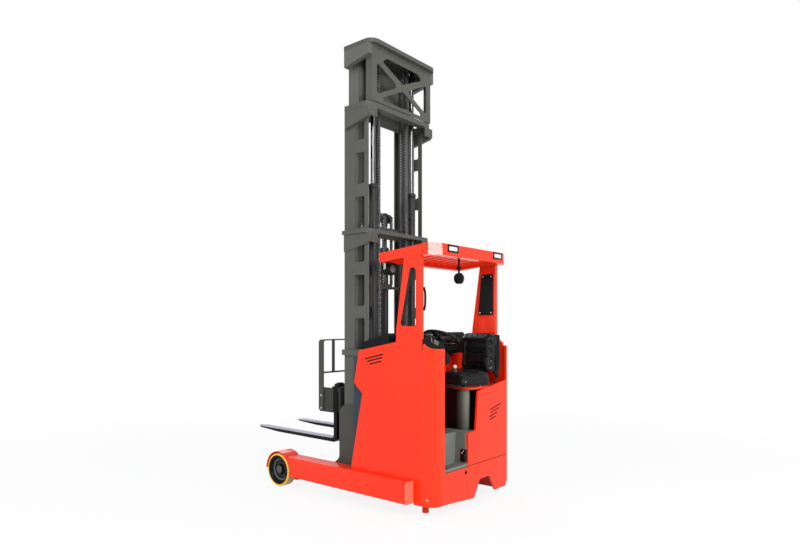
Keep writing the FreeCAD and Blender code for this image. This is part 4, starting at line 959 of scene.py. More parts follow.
def cushion_shape(places, normals):
    """Bolster round the cushion, with channels across its middle."""
    u, v = seat_shares(places)
    top = np.clip((normals[:, 2] - 0.25) / 0.4, 0, 1)
    rim = np.minimum(CUSHION_HALF - np.abs(u), v - 0.01)
    edge = np.minimum(rim, CUSHION_FRONT - CUSHION_PULL - v)
    inside = np.clip((edge - 0.066) / 0.008, 0, 1)
    height = -0.009 * dent(edge - 0.068, 0.006) + 0.005 * dent(edge - 0.044, 0.020)
    for line in (0.13, 0.19, 0.25):
        height -= 0.006 * dent(v - line, 0.005) * inside
    return (height - 0.004 * inside) * top


def back_shape(places, normals):
    """Raised border of the backrest, with two seams across its middle."""
    u = seat_shares(places)[0]
    z = places[:, 2]
    front = np.clip((normals @ np.array(SEAT_FORWARD) - 0.3) / 0.4, 0, 1)
    side, end = 0.122 - np.abs(u), np.minimum(z - BACK_BOTTOM - 0.02, 1.385 - z)
    edge = np.minimum(side, end)
    inside = np.clip(edge / 0.006, 0, 1)
    height = -0.014 * inside - 0.007 * dent(edge, 0.006) + 0.009 * dent(edge + 0.030, 0.018)
    for line in (1.190, 1.288):
        height -= 0.010 * dent(z - line, 0.0055) * inside
        height += 0.007 * dent(z - line - 0.045, 0.032) * inside
    return height * front


def loop_of(half_w, low, high, radius, step=0.011):
    """Points round a rectangle with rounded corners."""
    points = []
    for cx, cy, start in (
        (half_w - radius, high - radius, 0), (radius - half_w, high - radius, 90),
        (radius - half_w, low + radius, 180), (half_w - radius, low + radius, 270),
    ):
        for k in range(7):
            a = math.radians(start + 15 * k)
            points.append((cx + radius * math.cos(a), cy + radius * math.sin(a)))
    full = []
    for (x0, y0), (x1, y1) in zip(points, points[1:] + points[:1]):
        count = max(1, round(math.hypot(x1 - x0, y1 - y0) / step))
        full += [(x0 + (x1 - x0) * k / count, y0 + (y1 - y0) * k / count) for k in range(count)]
    return full


def laid_on(piece, starts, way, lift):
    """Where rays meet a cover, a little above it."""
    data = piece.data
    tree = BVHTree.FromPolygons(
        [v.co for v in data.vertices], [tuple(p.vertices) for p in data.polygons])
    met = (tree.ray_cast(start, way)[0] for start in starts)
    return [place - Vector(way) * lift for place in met if place is not None]


def closed_tube(points, radius, sides=8):
    return bent_tube(points + points[:1], radius, sides, ends=False)


def piped(name, cover, starts, way):
    """A cord of piping laid on a cover."""
    cord = closed_tube(laid_on(cover, starts, way, 0.0008), PIPING_RADIUS)
    fitted(name, cord, "piping")


def stitched(name, cover, starts, way):
    """Threads laid along a closed line on a cover."""
    line = laid_on(cover, starts, way, 0.0)
    t = Tree("stitches", "Length", "Thickness")
    thread = t.cylinder(6, t.given["Thickness"] * 0.5, t.given["Length"])
    tree = t.close(t.copies(thread, Rotation=t.facing()))
    wanted = {"Length": sizes().stitch_length, "Thickness": THREAD_WIDTH}
    points = [(a, b - a) for a, b in zip(line, line[1:] + line[:1])]
    grown(name, points, tree, wanted, "thread", "chassis")


class TRUCK_OT_seat(bpy.types.Operator):
    """Makes the padded cushion and backrest with their piping and stitches"""

    bl_idname = "truck.seat"
    bl_label = "Seat"

    def execute(self, context):
        cushion = puffed("seat_cushion_pad", "seat_cushion", 1.045, rolled_cushion)
        pressed(cushion, cushion_shape, np.array((0.0, 0.0, 1.0)))
        back = puffed("seat_back_pad", "seat_backrest", 1.12, rolled_back)
        pressed(back, back_shape, np.array(SEAT_FORWARD))
        upholstered(cushion, "seat_cushion")
        upholstered(back, "seat_backrest")
        down, rearward = (0, 0, -1), tuple(-np.array(SEAT_FORWARD))
        for name, lay, inset in (("piping", piped, 0.024), ("stitches", stitched, 0.062)):
            front = CUSHION_FRONT - CUSHION_PULL - inset
            loop = loop_of(CUSHION_HALF - inset, 0.006 + inset, front, 0.055)
            lay(f"cushion_{name}", cushion, [seat_point(u, v, 1.3) for u, v in loop], down)
        for name, lay, loop in (
            ("piping", piped, (BACK_HALF - 0.020, BACK_BOTTOM + 0.020, BACK_TOP - 0.020, 0.055)),
            ("stitches", stitched, (0.128, BACK_BOTTOM + 0.030, 1.391, 0.02)),
        ):
            starts = [seat_point(u, 0.3, z) for u, z in loop_of(*loop)]
            lay(f"back_{name}", back, starts, rearward)
        self.shell()
        self.belt()
        return {"FINISHED"}

    def shell(self):
        """Moulded shell behind the backrest, and the slides under the cushion."""
        rings = []
        for z, half, deep in (
            (1.125, 0.150, 0.016), (1.16, 0.176, 0.026), (1.30, 0.184, 0.030), (1.42, 0.178, 0.026),
            (1.465, 0.150, 0.014),
        ):
            rear = 0.004 - (z - BACK_BOTTOM) * BACK_LEAN - 0.080
            row = (-half, -half * 0.5, 0, half * 0.5, half)
            ring = [seat_point(u, rear, z) for u in row]
            ring += [seat_point(u, rear - deep * (1 - (u / half) ** 4 * 0.8), z)
                     for u in reversed(row)]
            rings.append(ring)
        fitted("seat_shell", lofted(rings), "plastic")
        slides = []
        for u in (-0.135, 0.135):
            ends = (seat_point(u, v, 1.008) for v in (0.03, 0.34))
            slides.append(bent_tube(ends, 0.008, 8))
            for v in (0.05, 0.32):
                foot = ((0, 0.012), (0.012, 0.012), (0.016, 0.007))
                slides.append(turned_shape(foot, seat_point(u, v, 1.0), UP, 6))
        faceted("seat_slides", slides, "bolt")
        handle = [seat_point(u, v, z) for u, v, z in (
            (-0.17, 0.30, 1.012), (-0.17, 0.42, 1.010), (-0.15, 0.455, 1.006),
            (-0.05, 0.462, 1.004))]
        fitted("seat_slide_lever", bent_tube(catmull(handle), 0.006, 8), "plastic")

    def belt(self):
        """Retractor, strap, tongue and buckle of the belt, at the backrest's rear side."""
        low, high = (seat_point(-0.164, -0.112, z) for z in (1.125, 1.452))
        box = block_at((low + high) / 2, (0.022, 0.026, 0.1635), 0.009, 3, SEAT_TURN)
        fitted("belt_box", box, "plastic")
        line = catmull([
            (-1.247, -0.455, 1.425), (-1.2485, -0.453, 1.350), (-1.2485, -0.450, 1.270),
            (-1.2475, -0.447, 1.200), (-1.244, -0.442, 1.150), (-1.239, -0.436, 1.122)])
        wide, thick = SEAT_FORWARD * 0.013, SEAT_ACROSS * 0.0009
        faceted("belt_strap", lofted([
            (p - wide - thick, p + wide - thick, p + wide + thick, p - wide + thick)
            for p in line]), "webbing")
        tilt = SEAT_TURN @ Matrix.Rotation(math.radians(-38), 3, "X")
        buckle = Vector((-1.236, -0.428, 1.100))
        fitted("belt_buckle", block_at(buckle, (0.011, 0.022, 0.034), 0.006, 3, tilt), "plastic")
        tip = buckle + tilt @ Vector((0, 0, 0.040))
        faceted("belt_tongue", block_at(tip, (0.002, 0.017, 0.012), 0.0015, 2, tilt), "cylinder")
        stalk = catmull([buckle + tilt @ Vector((0, 0, -0.030)), (-1.234, -0.412, 1.045),
                         (-1.232, -0.410, 1.002)])
        fitted("belt_stalk", bent_tube(stalk, 0.007), "plastic")


# ------------------------------------------------------------------ chains and pipes
PLATE_ROWS = ((-0.42, -0.14, 0.14, 0.42), (-0.28, 0.0, 0.28))
PIN_RADIUS = 0.005
PIN_LENGTH = 1.12


def chain_tree():
    """Leaf chain along a line of points: wide and narrow packs of plates by turns."""
    t = Tree("leaf_chain", "Pitch", "Width", "Depth")
    width = t.given["Width"]
    odd = t.maths("MODULO", t.node("GeometryNodeInputIndex"), 2.0)
    even = t.maths("SUBTRACT", 1.0, odd)
    size = t.node("ShaderNodeCombineXYZ", {
        "X": t.given["Depth"], "Y": width * 0.11, "Z": t.given["Pitch"] * 1.62})
    plate = t.node("GeometryNodeMeshCube", {"Size": size})
    packs = []
    for places, chosen in zip(PLATE_ROWS, (even, odd)):
        pack = t.join([t.moved(plate, "Y", width * place) for place in places])
        packs.append(t.copies(pack, Selection=chosen))
    return t.close(t.join(packs))


def pin_tree():
    """Chain pins across every point."""
    t = Tree("chain_pins", "Radius", "Width")
    flat = t.node("GeometryNodeTransform", {
        "Geometry": t.cylinder(10, t.given["Radius"], t.given["Width"]),
        "Rotation": (math.radians(90), 0.0, 0.0)})
    return t.close(t.copies(flat))


def leaf_chain(name, x, y, low, high, body, width=0.026):
    """A straight upright run of leaf chain; gives back its plates and its pins."""
    pitch = sizes().chain_pitch
    line = [((x, y, high - pitch * i), UP) for i in range(int((high - low) / pitch) + 1)]
    plates = grown(name, line, chain_tree(), {"Pitch": pitch, "Width": width, "Depth": 0.019},
                   "chain", body)
    pins = grown(f"{name}_pins", line, pin_tree(), {
        "Radius": PIN_RADIUS, "Width": width * PIN_LENGTH}, "pin", body)
    return plates, pins


def chain_bend(name, x, y, z, radius, width, body):
    """The half turn of chain over a wheel, plate by plate."""
    plates, pins = [], []
    for i in range(9):
        a = math.pi * i / 8
        at = Vector((x - math.cos(a) * radius, y, z + math.sin(a) * radius))
        turn = Matrix.Rotation(a, 3, "Y")
        for share in PLATE_ROWS[1 - i % 2]:
            middle = at + Vector((0, share * width, 0))
            plates.append(block_at(middle, (0.0085, width * 0.055, 0.0135), 0.0008, 1, turn))
        start = at - Vector((0, width * 0.56, 0))
        pin = ((0, PIN_RADIUS), (width * PIN_LENGTH, PIN_RADIUS))
        pins.append(turned_shape(pin, start, ACROSS, 10))
    faceted(name, plates, "chain", body)
    faceted(f"{name}_pins", pins, "pin", body)


class TRUCK_OT_chains(bpy.types.Operator):
    """Makes the lift chains, their wheels and their anchors"""

    bl_idname = "truck.chains"
    bl_label = "Lift chains"

    def execute(self, context):
        self.free_chains()
        self.main_chains()
        return {"FINISHED"}

    def free_chains(self):
        """The two chains over the head of the free-lift cylinder."""
        for side, y in (("left", -0.0035), ("right", -0.1065)):
            x, z, r = -0.222, 2.557, 0.042
            for piece in leaf_chain(
                    f"free_chain_front_{side}", x + r, y, 0.945, z, "free_lift_head"):
                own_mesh(piece)
            leaf_chain(f"free_chain_rear_{side}", x - r, y, 1.925, z, "inner_stage")
            chain_bend(f"free_chain_bend_{side}", x, y, z, r, 0.026, "free_lift_head")
            bolt = [
                turned_shape(((0, 0.008), (0.07, 0.008)), (x + r, y, 0.885), UP, 12),
                rounded_block((x + r - 0.012, y - 0.014, 0.925),
                              (x + r + 0.012, y + 0.014, 0.965))]
            faceted(f"free_chain_anchor_{side}", bolt, "bolt", "lift_carriage")

    def main_chains(self):
        """The chains that draw the inner mast up, with their wheels and ears."""
        wheel = ((-0.6, 0.25), (-0.5, 0.9), (-0.5, 1.0), (-0.34, 1.0), (-0.3, 0.84), (0.3, 0.84),
                 (0.34, 1.0), (0.5, 1.0), (0.5, 0.9), (0.6, 0.25))
        body = "middle_stage"
        for side, sign in SIDES:
            y = 0.20 * sign
            x, z, r = -0.335, 3.90, 0.036
            shape = [(a * 0.034, b * (r - 0.005)) for a, b in wheel]
            faceted(f"main_chain_wheel_{side}", turned_shape(shape, (x, y, z), ACROSS, 36), "chain",
                    body)
            chain_bend(f"main_chain_bend_{side}", x, y, z, r + 0.003, 0.030, body)
            leaf_chain(f"main_chain_rear_{side}", x - r - 0.003, y, 0.80, z, body, 0.030)
            for piece in leaf_chain(
                    f"main_chain_front_{side}", x + r - 0.016, y, 0.30, z - 0.03, body, 0.030):
                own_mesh(piece)
            ears = [rounded_block((x - 0.03, y + s * 0.026 - 0.004, z - 0.03),
                                  (x + 0.03, y + s * 0.026 + 0.004, 4.012), 0.002) for s in (1, -1)]
            pin = ((0, 0.014), (0.004, 0.016), (0.068, 0.016), (0.072, 0.014))
            ears.append(turned_shape(pin, (x, y - 0.036, z), ACROSS, 16))
            faceted(f"main_chain_ears_{side}", ears, "mast", body)


def ribbed(path, radius, pitch=0.012):
    """A hose with rings along it: points and faces."""
    line = catmull(path, 12)
    reached = [0.0]
    for a, b in zip(line, line[1:]):
        reached.append(reached[-1] + (b - a).length)
    steps = int(reached[-1] / (pitch / 2))
    points, radii = [], []
    at = 0
    for i in range(steps + 1):
        want = reached[-1] * i / steps
        while at < len(line) - 2 and reached[at + 1] < want:
            at += 1
        share = (want - reached[at]) / max(reached[at + 1] - reached[at], 1e-9)
        points.append(line[at].lerp(line[at + 1], share))
        radii.append(radius * (1.0 if i % 2 else 0.86))
    return bent_tube(points, radii, 12)


class TRUCK_OT_pipes(bpy.types.Operator):
    """Makes the mast's pipes, hoses and clamps"""

    bl_idname = "truck.pipes"
    bl_label = "Pipes and hoses"

    def execute(self, context):
        for side, sign in SIDES:
            y, clamp_y = 0.232 * sign, 0.246 * sign
            pipe = catmull([
                (-0.378, 0.262 * sign, 0.30), (-0.378, y, 0.33), (-0.378, y, 0.42),
                (-0.378, y, 1.6), (-0.378, y, 2.60), (-0.376, y, 2.68),
                (-0.375, 0.256 * sign, 2.72)], 8)
            fitted(f"lift_pipe_{side}", bent_tube(pipe, 0.008), "cylinder", "reach")
            clamps = [
                rounded_block((-0.396, min(y, clamp_y) - 0.006, z),
                              (-0.358, max(y, clamp_y) + 0.006, z + 0.022))
                for z in (0.6, 1.15, 1.85, 2.55)]
            faceted(f"pipe_clamps_{side}", clamps, "plastic", "reach")
            collars = [
                turned_shape(profile, (-0.375, 0.28 * sign, z), UP)
                for z, profile in (
                    (2.775, ((0, 0.038), (0.002, 0.0435), (0.034, 0.0435), (0.042, 0.036),
                             (0.043, 0.024))),
                    (0.12, ((0, 0.038), (0.002, 0.042), (0.028, 0.042), (0.03, 0.038))))]
            fitted(f"cylinder_glands_{side}", collars, "cylinder", "reach")
        gland = ((0, 0.038), (0.002, 0.044), (0.03, 0.044), (0.036, 0.037), (0.037, 0.025))
        fitted("free_cylinder_gland", turned_shape(gland, (-0.222, -0.055, 2.243), UP), "cylinder",
               "inner_stage")
        for i, y in enumerate((0.090, 0.112, 0.134, 0.156)):
            hose = ribbed([(-0.262, y, z) for z in (2.05, 2.8, 3.86 - 0.01 * i)], 0.0095)
            fitted(f"mast_hose_{i + 1}", hose, "rubber", "inner_stage")
        shelf = [rounded_block((-0.275, 0.076, z), (-0.248, 0.170, z + 0.020))
                 for z in (2.10, 2.75, 3.35, 3.80)]
        faceted("hose_clamps", shelf, "plastic", "inner_stage")
        for i, y in enumerate((-0.030, 0.0, 0.030)):
            low = catmull([(-0.125, y, 0.60), (-0.150, y - 0.03, 0.52), (-0.120, y - 0.08, 0.50),
                           (-0.118, y - 0.13, 0.60), (-0.121, y - 0.15, 0.72)], 8)
            fitted(f"carriage_hose_{i + 1}", bent_tube(low, 0.0075), "rubber",
                   "lift_carriage")
        return {"FINISHED"}


# ------------------------------------------------------------------ bolts
def bolted(name, body, points, radius=None, height=None, washer=1.35, sides=6, finish="bolt"):
    radius = radius or sizes().bolt_radius
    return grown(name, points, bolt_tree(), {
        "Head radius": radius, "Head height": height or sizes().bolt_height,
        "Washer radius": radius * washer, "Sides": sides}, finish, body)


def screwed(name, points, radius, height, washer=1.2):
    """Round panel screws on the chassis."""
    bolted(name, "chassis", points, radius, height, washer, 12)


def both_sides(points):
    """The points, and their images on the truck's other side."""
    return points + [((p[0], -p[1], p[2]), (w[0], -w[1], w[2])) for p, w in points]


def ring_of(angles, axle, y, radius, way):
    """Points round an axle, facing along it."""
    x, z = axle
    return [((x + radius * math.cos(a), y, z + radius * math.sin(a)), (0, way, 0)) for a in angles]


class TRUCK_OT_fasteners(bpy.types.Operator):
    """Puts the bolts, screws and head plates on each body"""

    bl_idname = "truck.fasteners"
    bl_label = "Bolts and screws"

    def execute(self, context):
        rear, side, up, front = (-1, 0, 0), (0, 1, 0), (0, 0, 1), (1, 0, 0)

        def rows(x, ys, zs, way):
            return [((x, y, z), way) for y in ys for z in zs]

        def mirrored(name, body, points, *head, **more):
            bolted(name, body, both_sides(points), *head, **more)

        mirrored("mast_bolts", "reach", [
            ((x, 0.456, z), side) for x, z in ((-0.40, 0.16), (-0.33, 0.16), (-0.40, 0.26))])
        plate = rows(-0.473, (0.345, 0.405), (2.300, 2.330), rear)
        plate += rows(-0.491, (0.370, 0.435), (3.405, 3.435), rear)
        mirrored("bracket_bolts", "reach", plate, 0.007, 0.004, finish="mast")
        head = rows(-0.497, (0.405,), (3.55, 3.90), rear)
        head += rows(-0.497, (0.05, 0.33), (3.985,), rear)
        mirrored("brace_bolts", "middle_stage", head, 0.007, 0.004, finish="mast")
        bars = rows(-0.300, (0.345, 0.29), (2.377, 2.433, 3.427, 3.483), rear)
        mirrored("bar_bolts", "middle_stage", bars, 0.008, 0.005)
        bars = rows(-0.287, (0.250, 0.22), (3.93, 3.97), rear)
        mirrored("inner_bar_bolts", "inner_stage", bars, 0.009, 0.006)
        mirrored("carriage_bolts", "lift_carriage",
                 rows(-0.125, (0.245, 0.205), (0.53, 0.61, 0.83, 0.92), front))
        # the upper plate is a black sheet of painted shade, dark behind the brace's upper window
        # under the cap
        for name, wide, low, high, finish, slot in (
            ("inner_head_plate", 0.269, 3.490, 3.903, "mast", "mast_grey"),
            ("inner_shade_plate", 0.230, 3.990, 4.037, "carriage", "carriage_black"),
        ):
            plate = rounded_block((-0.2865, -wide, low), (-0.2815, wide, high), 0.001, 1)
            faceted(name, plate, finish, "inner_stage")
        mirrored("tilt_plate_bolts", "tilt_frame", rows(0.005, (0.31, 0.18), (0.75, 0.83), front))
        mirrored("shift_bolts", "side_shift",
                 rows(0.051, (0.345, 0.19, 0.06), (0.755, 0.945), front))
        mirrored("backrest_bolts", "side_shift", rows(0.176, (0.400,), (0.752, 0.872), side),
                 0.010, 0.007)
        sixths = [math.radians(60 * k + 30) for k in range(6)]
        for hand, way in SIDES:
            ring = ring_of(sixths, LOAD_AXLE, 0.625 * way - way * 0.031, 0.078, way)
            bolted(f"load_wheel_bolts_{hand}", f"{hand}_load_wheel", ring, 0.0075, 0.005,
                   finish="rim")
        sevenths = [2 * math.pi * k / 7 for k in range(7)]
        ring = ring_of(sevenths, DRIVE_AXLE, -0.2025, 0.085, 1)
        bolted("drive_wheel_nuts", "drive_wheel", ring, 0.010, 0.010)
        screwed("pillar_screws", [((x, -0.587, z), side) for x, z in (
            (-0.9625, 1.655), (-1.088, 1.655), (-0.997, 1.996), (-1.088, 1.996))], 0.007, 0.004)
        deck = [((x, y, 1.0), up) for x, y in (
            (-1.15, -0.06), (-0.90, -0.055), (-1.20, -0.22), (-1.20, -0.48), (-0.80, -0.055))]
        screwed("deck_screws", deck, sizes().screw_radius, 0.003, 1.1)
        tub = rows(-1.136, (0.09, 0.37), (0.41, 0.60), rear)
        for x in (-1.21, -1.16):
            tub += rows(x, (0.09, 0.37), (0.37,), up)
        screwed("tub_screws", tub, 0.006, 0.003)
        return {"FINISHED"}


# ------------------------------------------------------------------ driver's controls
class TRUCK_OT_controls(bpy.types.Operator):
    """Makes the levers, dashboard, wheel trim, pedals and switches"""

    bl_idname = "truck.controls"
    bl_label = "Controls"

    def execute(self, context):
        self.levers()
        self.dashboard()
        self.steering()
        self.floor()
        self.switches()
        return {"FINISHED"}

    def levers(self):
        """Lift levers with their boots, the seat's release knob and the console's trims."""
        radius, height = 0.014, 0.034
        knob = ((0, radius * 0.5), (height * 0.15, radius * 0.62), (height * 0.4, radius * 0.95),
                (height * 0.7, radius), (height * 0.9, radius * 0.78), (height, radius * 0.3))
        boot = ((0, 0.022), (0.004, 0.022), (0.008, 0.017), (0.011, 0.019), (0.016, 0.013),
                (0.019, 0.015), (0.026, 0.008))
        sticks, knobs, boots = [], [], []
        for y in (-0.20, -0.13, -0.06, 0.01):
            foot = Vector((-0.838, y, 1.368))
            top = foot + Vector((-0.030, 0.0, 0.080))
            sticks.append(bent_tube([foot, foot.lerp(top, 0.5), top], 0.005))
            knobs.append(turned_shape(knob, top - Vector((0, 0, 0.004)), top - foot, 20))
            boots.append(turned_shape(boot, foot - Vector((0, 0, 0.014)), (-0.3, 0, 1), 20))
        fitted("lever_sticks", sticks, "cylinder")
        fitted("lever_knobs", knobs, "gloss")
        fitted("lever_boots", boots, "rubber")
        pale = ((-0.018, 0.006), (-0.015, 0.013), (-0.008, 0.0185), (0.0, 0.020), (0.008, 0.0185),
                (0.015, 0.013), (0.018, 0.005))
        fitted("release_knob", turned_shape(pale, (-0.860, -0.321, 1.150), (-0.6, 0.7, 0.3), 24),
               "white_plastic")
        stalk = catmull([
            (-0.7745, -0.345, 1.105), (-0.810, -0.338, 1.120), (-0.852, -0.326, 1.142)])
        fitted("release_stalk", bent_tube(stalk, 0.006), "bolt")
        fitted("console_trims", [
            rounded_block((-0.871, -0.33, 1.285), (-0.862, 0.09, 1.318), 0.004, 2),
            rounded_block((-0.835, -0.335, 1.388), (-0.776, 0.095, 1.400), 0.005),
            rounded_block((-0.855, -0.325, 1.405), (-0.792, -0.245, 1.430), 0.008),
        ], "gloss")

    def dashboard(self):
        """Faceted hood with its display, standing on the console by the wheel."""
        outline = ((0.270, 1.350), (0.520, 1.390), (0.520, 1.422), (0.462, 1.462), (0.385, 1.456),
                   (0.300, 1.412))
        cy, cz = 0.40, 1.41
        faceted("dashboard_hood", lofted([
            [(x, y + (cy - y) * inset * 4, z + (cz - z) * inset * 4) for y, z in outline]
            for x, inset in (
                (-1.118, 0.030), (-1.100, 0.004), (-0.905, 0.0), (-0.870, 0.006),
                (-0.838, 0.040))]), "console")
        for name, finish, corners in (
            ("windows", "tinted", ((0.354, 1.425), (0.290, 1.400), (0.312, 1.361), (0.381, 1.361))),
            ("edge", "grey_plastic",
             ((0.403, 1.440), (0.393, 1.438), (0.380, 1.362), (0.390, 1.361))),
        ):
            facet = lofted([[(x, y, z) for y, z in corners] for x in (-1.1186, -1.1215)])
            faceted(f"dashboard_{name}", facet, finish)
        tilt = Matrix.Rotation(math.radians(-52), 3, "X")
        at = Vector((-0.995, 0.345, 1.4345))
        fitted("dashboard_glass", block_at(at, (0.075, 0.030, 0.004), 0.003, 2, tilt), "gloss")
        fitted("dashboard_frame", block_at(at, (0.084, 0.038, 0.003), 0.003, 2, tilt),
               "grey_plastic")
        boot = ((0, 0.062), (0.02, 0.058), (0.024, 0.050), (0.044, 0.050), (0.048, 0.043),
                (0.07, 0.041), (0.074, 0.035), (0.10, 0.033))
        fitted("column_boot", turned_shape(boot, (-1.06, 0.226, 1.318), (0, -0.4226, 0.9063)),
               "rubber")
        lock = ((0, 0.013), (0.004, 0.013), (0.006, 0.010))
        faceted("key_switch", [
            turned_shape(lock, (-1.10, 0.448, 1.456), (0, -0.5, 0.9), 20),
            rounded_block((-1.102, 0.436, 1.462), (-1.098, 0.452, 1.480), 0.001, 2),
        ], "cylinder")
        stop = ((0, 0.010), (0.006, 0.010), (0.008, 0.020), (0.018, 0.021), (0.024, 0.015))
        fitted("stop_button", turned_shape(stop, (-0.905, 0.452, 1.454), (0, -0.4, 0.92), 24),
               "red_plastic")

    def steering(self):
        """Hub cover, spoke covers and grip of the steering wheel."""
        body = "steering_wheel"
        cap = ((-0.028, 0.030), (-0.022, 0.040), (0.004, 0.041), (0.012, 0.036), (0.015, 0.024),
               (0.0155, 0.004))
        dome = turned_shape(cap, STEERING, STEERING_AXIS, 36)
        fitted("wheel_hub_cap", dome, "gloss", body)
        side, up = FORWARD, STEERING_AXIS.cross(FORWARD)
        grips = []
        for k in range(12):
            middle = 2 * math.pi * (k + 0.5) / 12
            arc = [STEERING + (side * math.cos(a) + up * math.sin(a)) * 0.147
                   for a in (middle + (j - 3) * 0.055 for j in range(7))]
            radii = [0.0131, 0.0135, 0.0136, 0.0136, 0.0136, 0.0135, 0.0131]
            grips.append(bent_tube(arc, radii, 12))
        fitted("wheel_grip", grips, "vinyl", body)
        spokes = []
        for k in (90, 210, 330):
            a = math.radians(k)
            way = side * math.cos(a) + up * math.sin(a)
            across = STEERING_AXIS.cross(way) * 0.016
            rings = []
            for d, w, h in (
                (0.034, 1.25, 0.010), (0.07, 0.9, 0.009), (0.11, 0.8, 0.008), (0.138, 1.0, 0.007),
            ):
                m = STEERING + way * d
                low, high = STEERING_AXIS * (h - 0.004), STEERING_AXIS * h
                rings.append([m - across * w + low, m + across * w + low,
                              m + across * w * 0.7 + high, m - across * w * 0.7 + high])
            spokes.append(lofted(rings))
        faceted("wheel_spoke_covers", spokes, "plastic", body)

    def floor(self):
        """Ribbed mats, the step's lip and the pedals."""
        ribs = []
        for count, y0, pitch, x0, x1, z, wide in (
            (20, 0.075, 0.0155, -1.225, -1.150, 0.3695, 0.008),
            (25, 0.0, 0.019, -1.130, -0.800, 0.6295, 0.010),
        ):
            for k in range(count):
                y = y0 + pitch * k
                ribs.append(rounded_block((x0, y, z), (x1, y + wide, z + 0.005), 0.0015, 1))
        faceted("floor_mat", ribs, "mat")
        fitted("step_lip", rounded_block((-1.2545, 0.064, 0.352), (-1.232, 0.396, 0.376), 0.004, 2),
               "step")
        tilt = Matrix.Rotation(math.radians(38), 3, "X")
        plates, pads = [], []
        for x, wide in ((-1.00, 0.045), (-0.88, 0.034)):
            at = Vector((x, 0.455, 0.700))
            plates.append(block_at(at, (wide, 0.045, 0.006), 0.003, 2, tilt))
            plates.append(bent_tube(
                [(x, 0.475, 0.705), (x, 0.505, 0.735), (x, 0.512, 0.80)], 0.008))
            for k in range(5):
                spot = at + tilt @ Vector((0, -0.032 + 0.016 * k, 0.0075))
                pads.append(block_at(spot, (wide * 0.86, 0.004, 0.002), 0.001, 1, tilt))
        fitted("pedals", plates, "carriage")
        faceted("pedal_pads", pads, "rubber")

    def switches(self):
        """The switch in the step tub and the skirt's latch."""
        y = 0.062
        fitted("tub_switch_plate", [
            rounded_block((-1.246, y, 0.388), (-1.188, y + 0.022, 0.493), 0.005),
            rounded_block((-1.238, y + 0.020, 0.398), (-1.196, y + 0.028, 0.450), 0.004, 2),
        ], "gloss")
        switch = rounded_block((-1.189, y, 0.392), (-1.180, y + 0.020, 0.486), 0.003, 2)
        fitted("tub_switch", switch, "red_plastic")
        stud = ((0, 0.0045), (0.003, 0.0045), (0.004, 0.003))
        fitted("tub_switch_studs", [
            turned_shape(stud, (x, y + 0.021, z), ACROSS, 12)
            for x, z in ((-1.222, 0.478), (-1.208, 0.462))], "white_plastic")
        latch = ((0, 0.016), (0.003, 0.016), (0.004, 0.012), (0.007, 0.011))
        faceted("skirt_latch", [
            turned_shape(latch, (-1.2545, 0.097, 0.305), (-1, 0, 0), 24),
            rounded_block((-1.2560, 0.088, 0.302), (-1.2535, 0.106, 0.308), 0.001, 1),
        ], "plastic")


# ------------------------------------------------------------------ body fittings
FAN_AT = (-1.092, -0.0425, 1.946)
FAN_R = 0.047
LAMP_AT = (-0.715, 0.455, 2.013)
SIDE_LOUVRES = (
    ((-0.525, 1.245), (-0.732, 1.291)),
    ((-0.550, 1.224), (-0.724, 1.264)),
    ((-0.575, 1.200), (-0.710, 1.232)),
)
REAR_LOUVRES = (
    ((-0.288, 0.782), (-0.480, 0.823)),
    ((-0.306, 0.757), (-0.449, 0.788)),
    ((-0.282, 0.723), (-0.417, 0.752)),
    ((-0.282, 0.698), (-0.392, 0.716)),
)
LOUVRE_TAILS = (
    ((-0.5235, 1.247), (-0.511, 1.184)),
    ((-0.5485, 1.226), (-0.536, 1.176)),
    ((-0.5735, 1.202), (-0.565, 1.165)),
)


def louvre_strip(ends, near, far, place):
    """A dark strip of painted shade that fills one slanted louvre: points and faces."""
    return lofted([
        [place(u, level, deep) for level, deep in (
            (w + 0.0004, near), (w + 0.0116, near), (w + 0.0116, far), (w + 0.0004, far))]
        for u, w in ends])


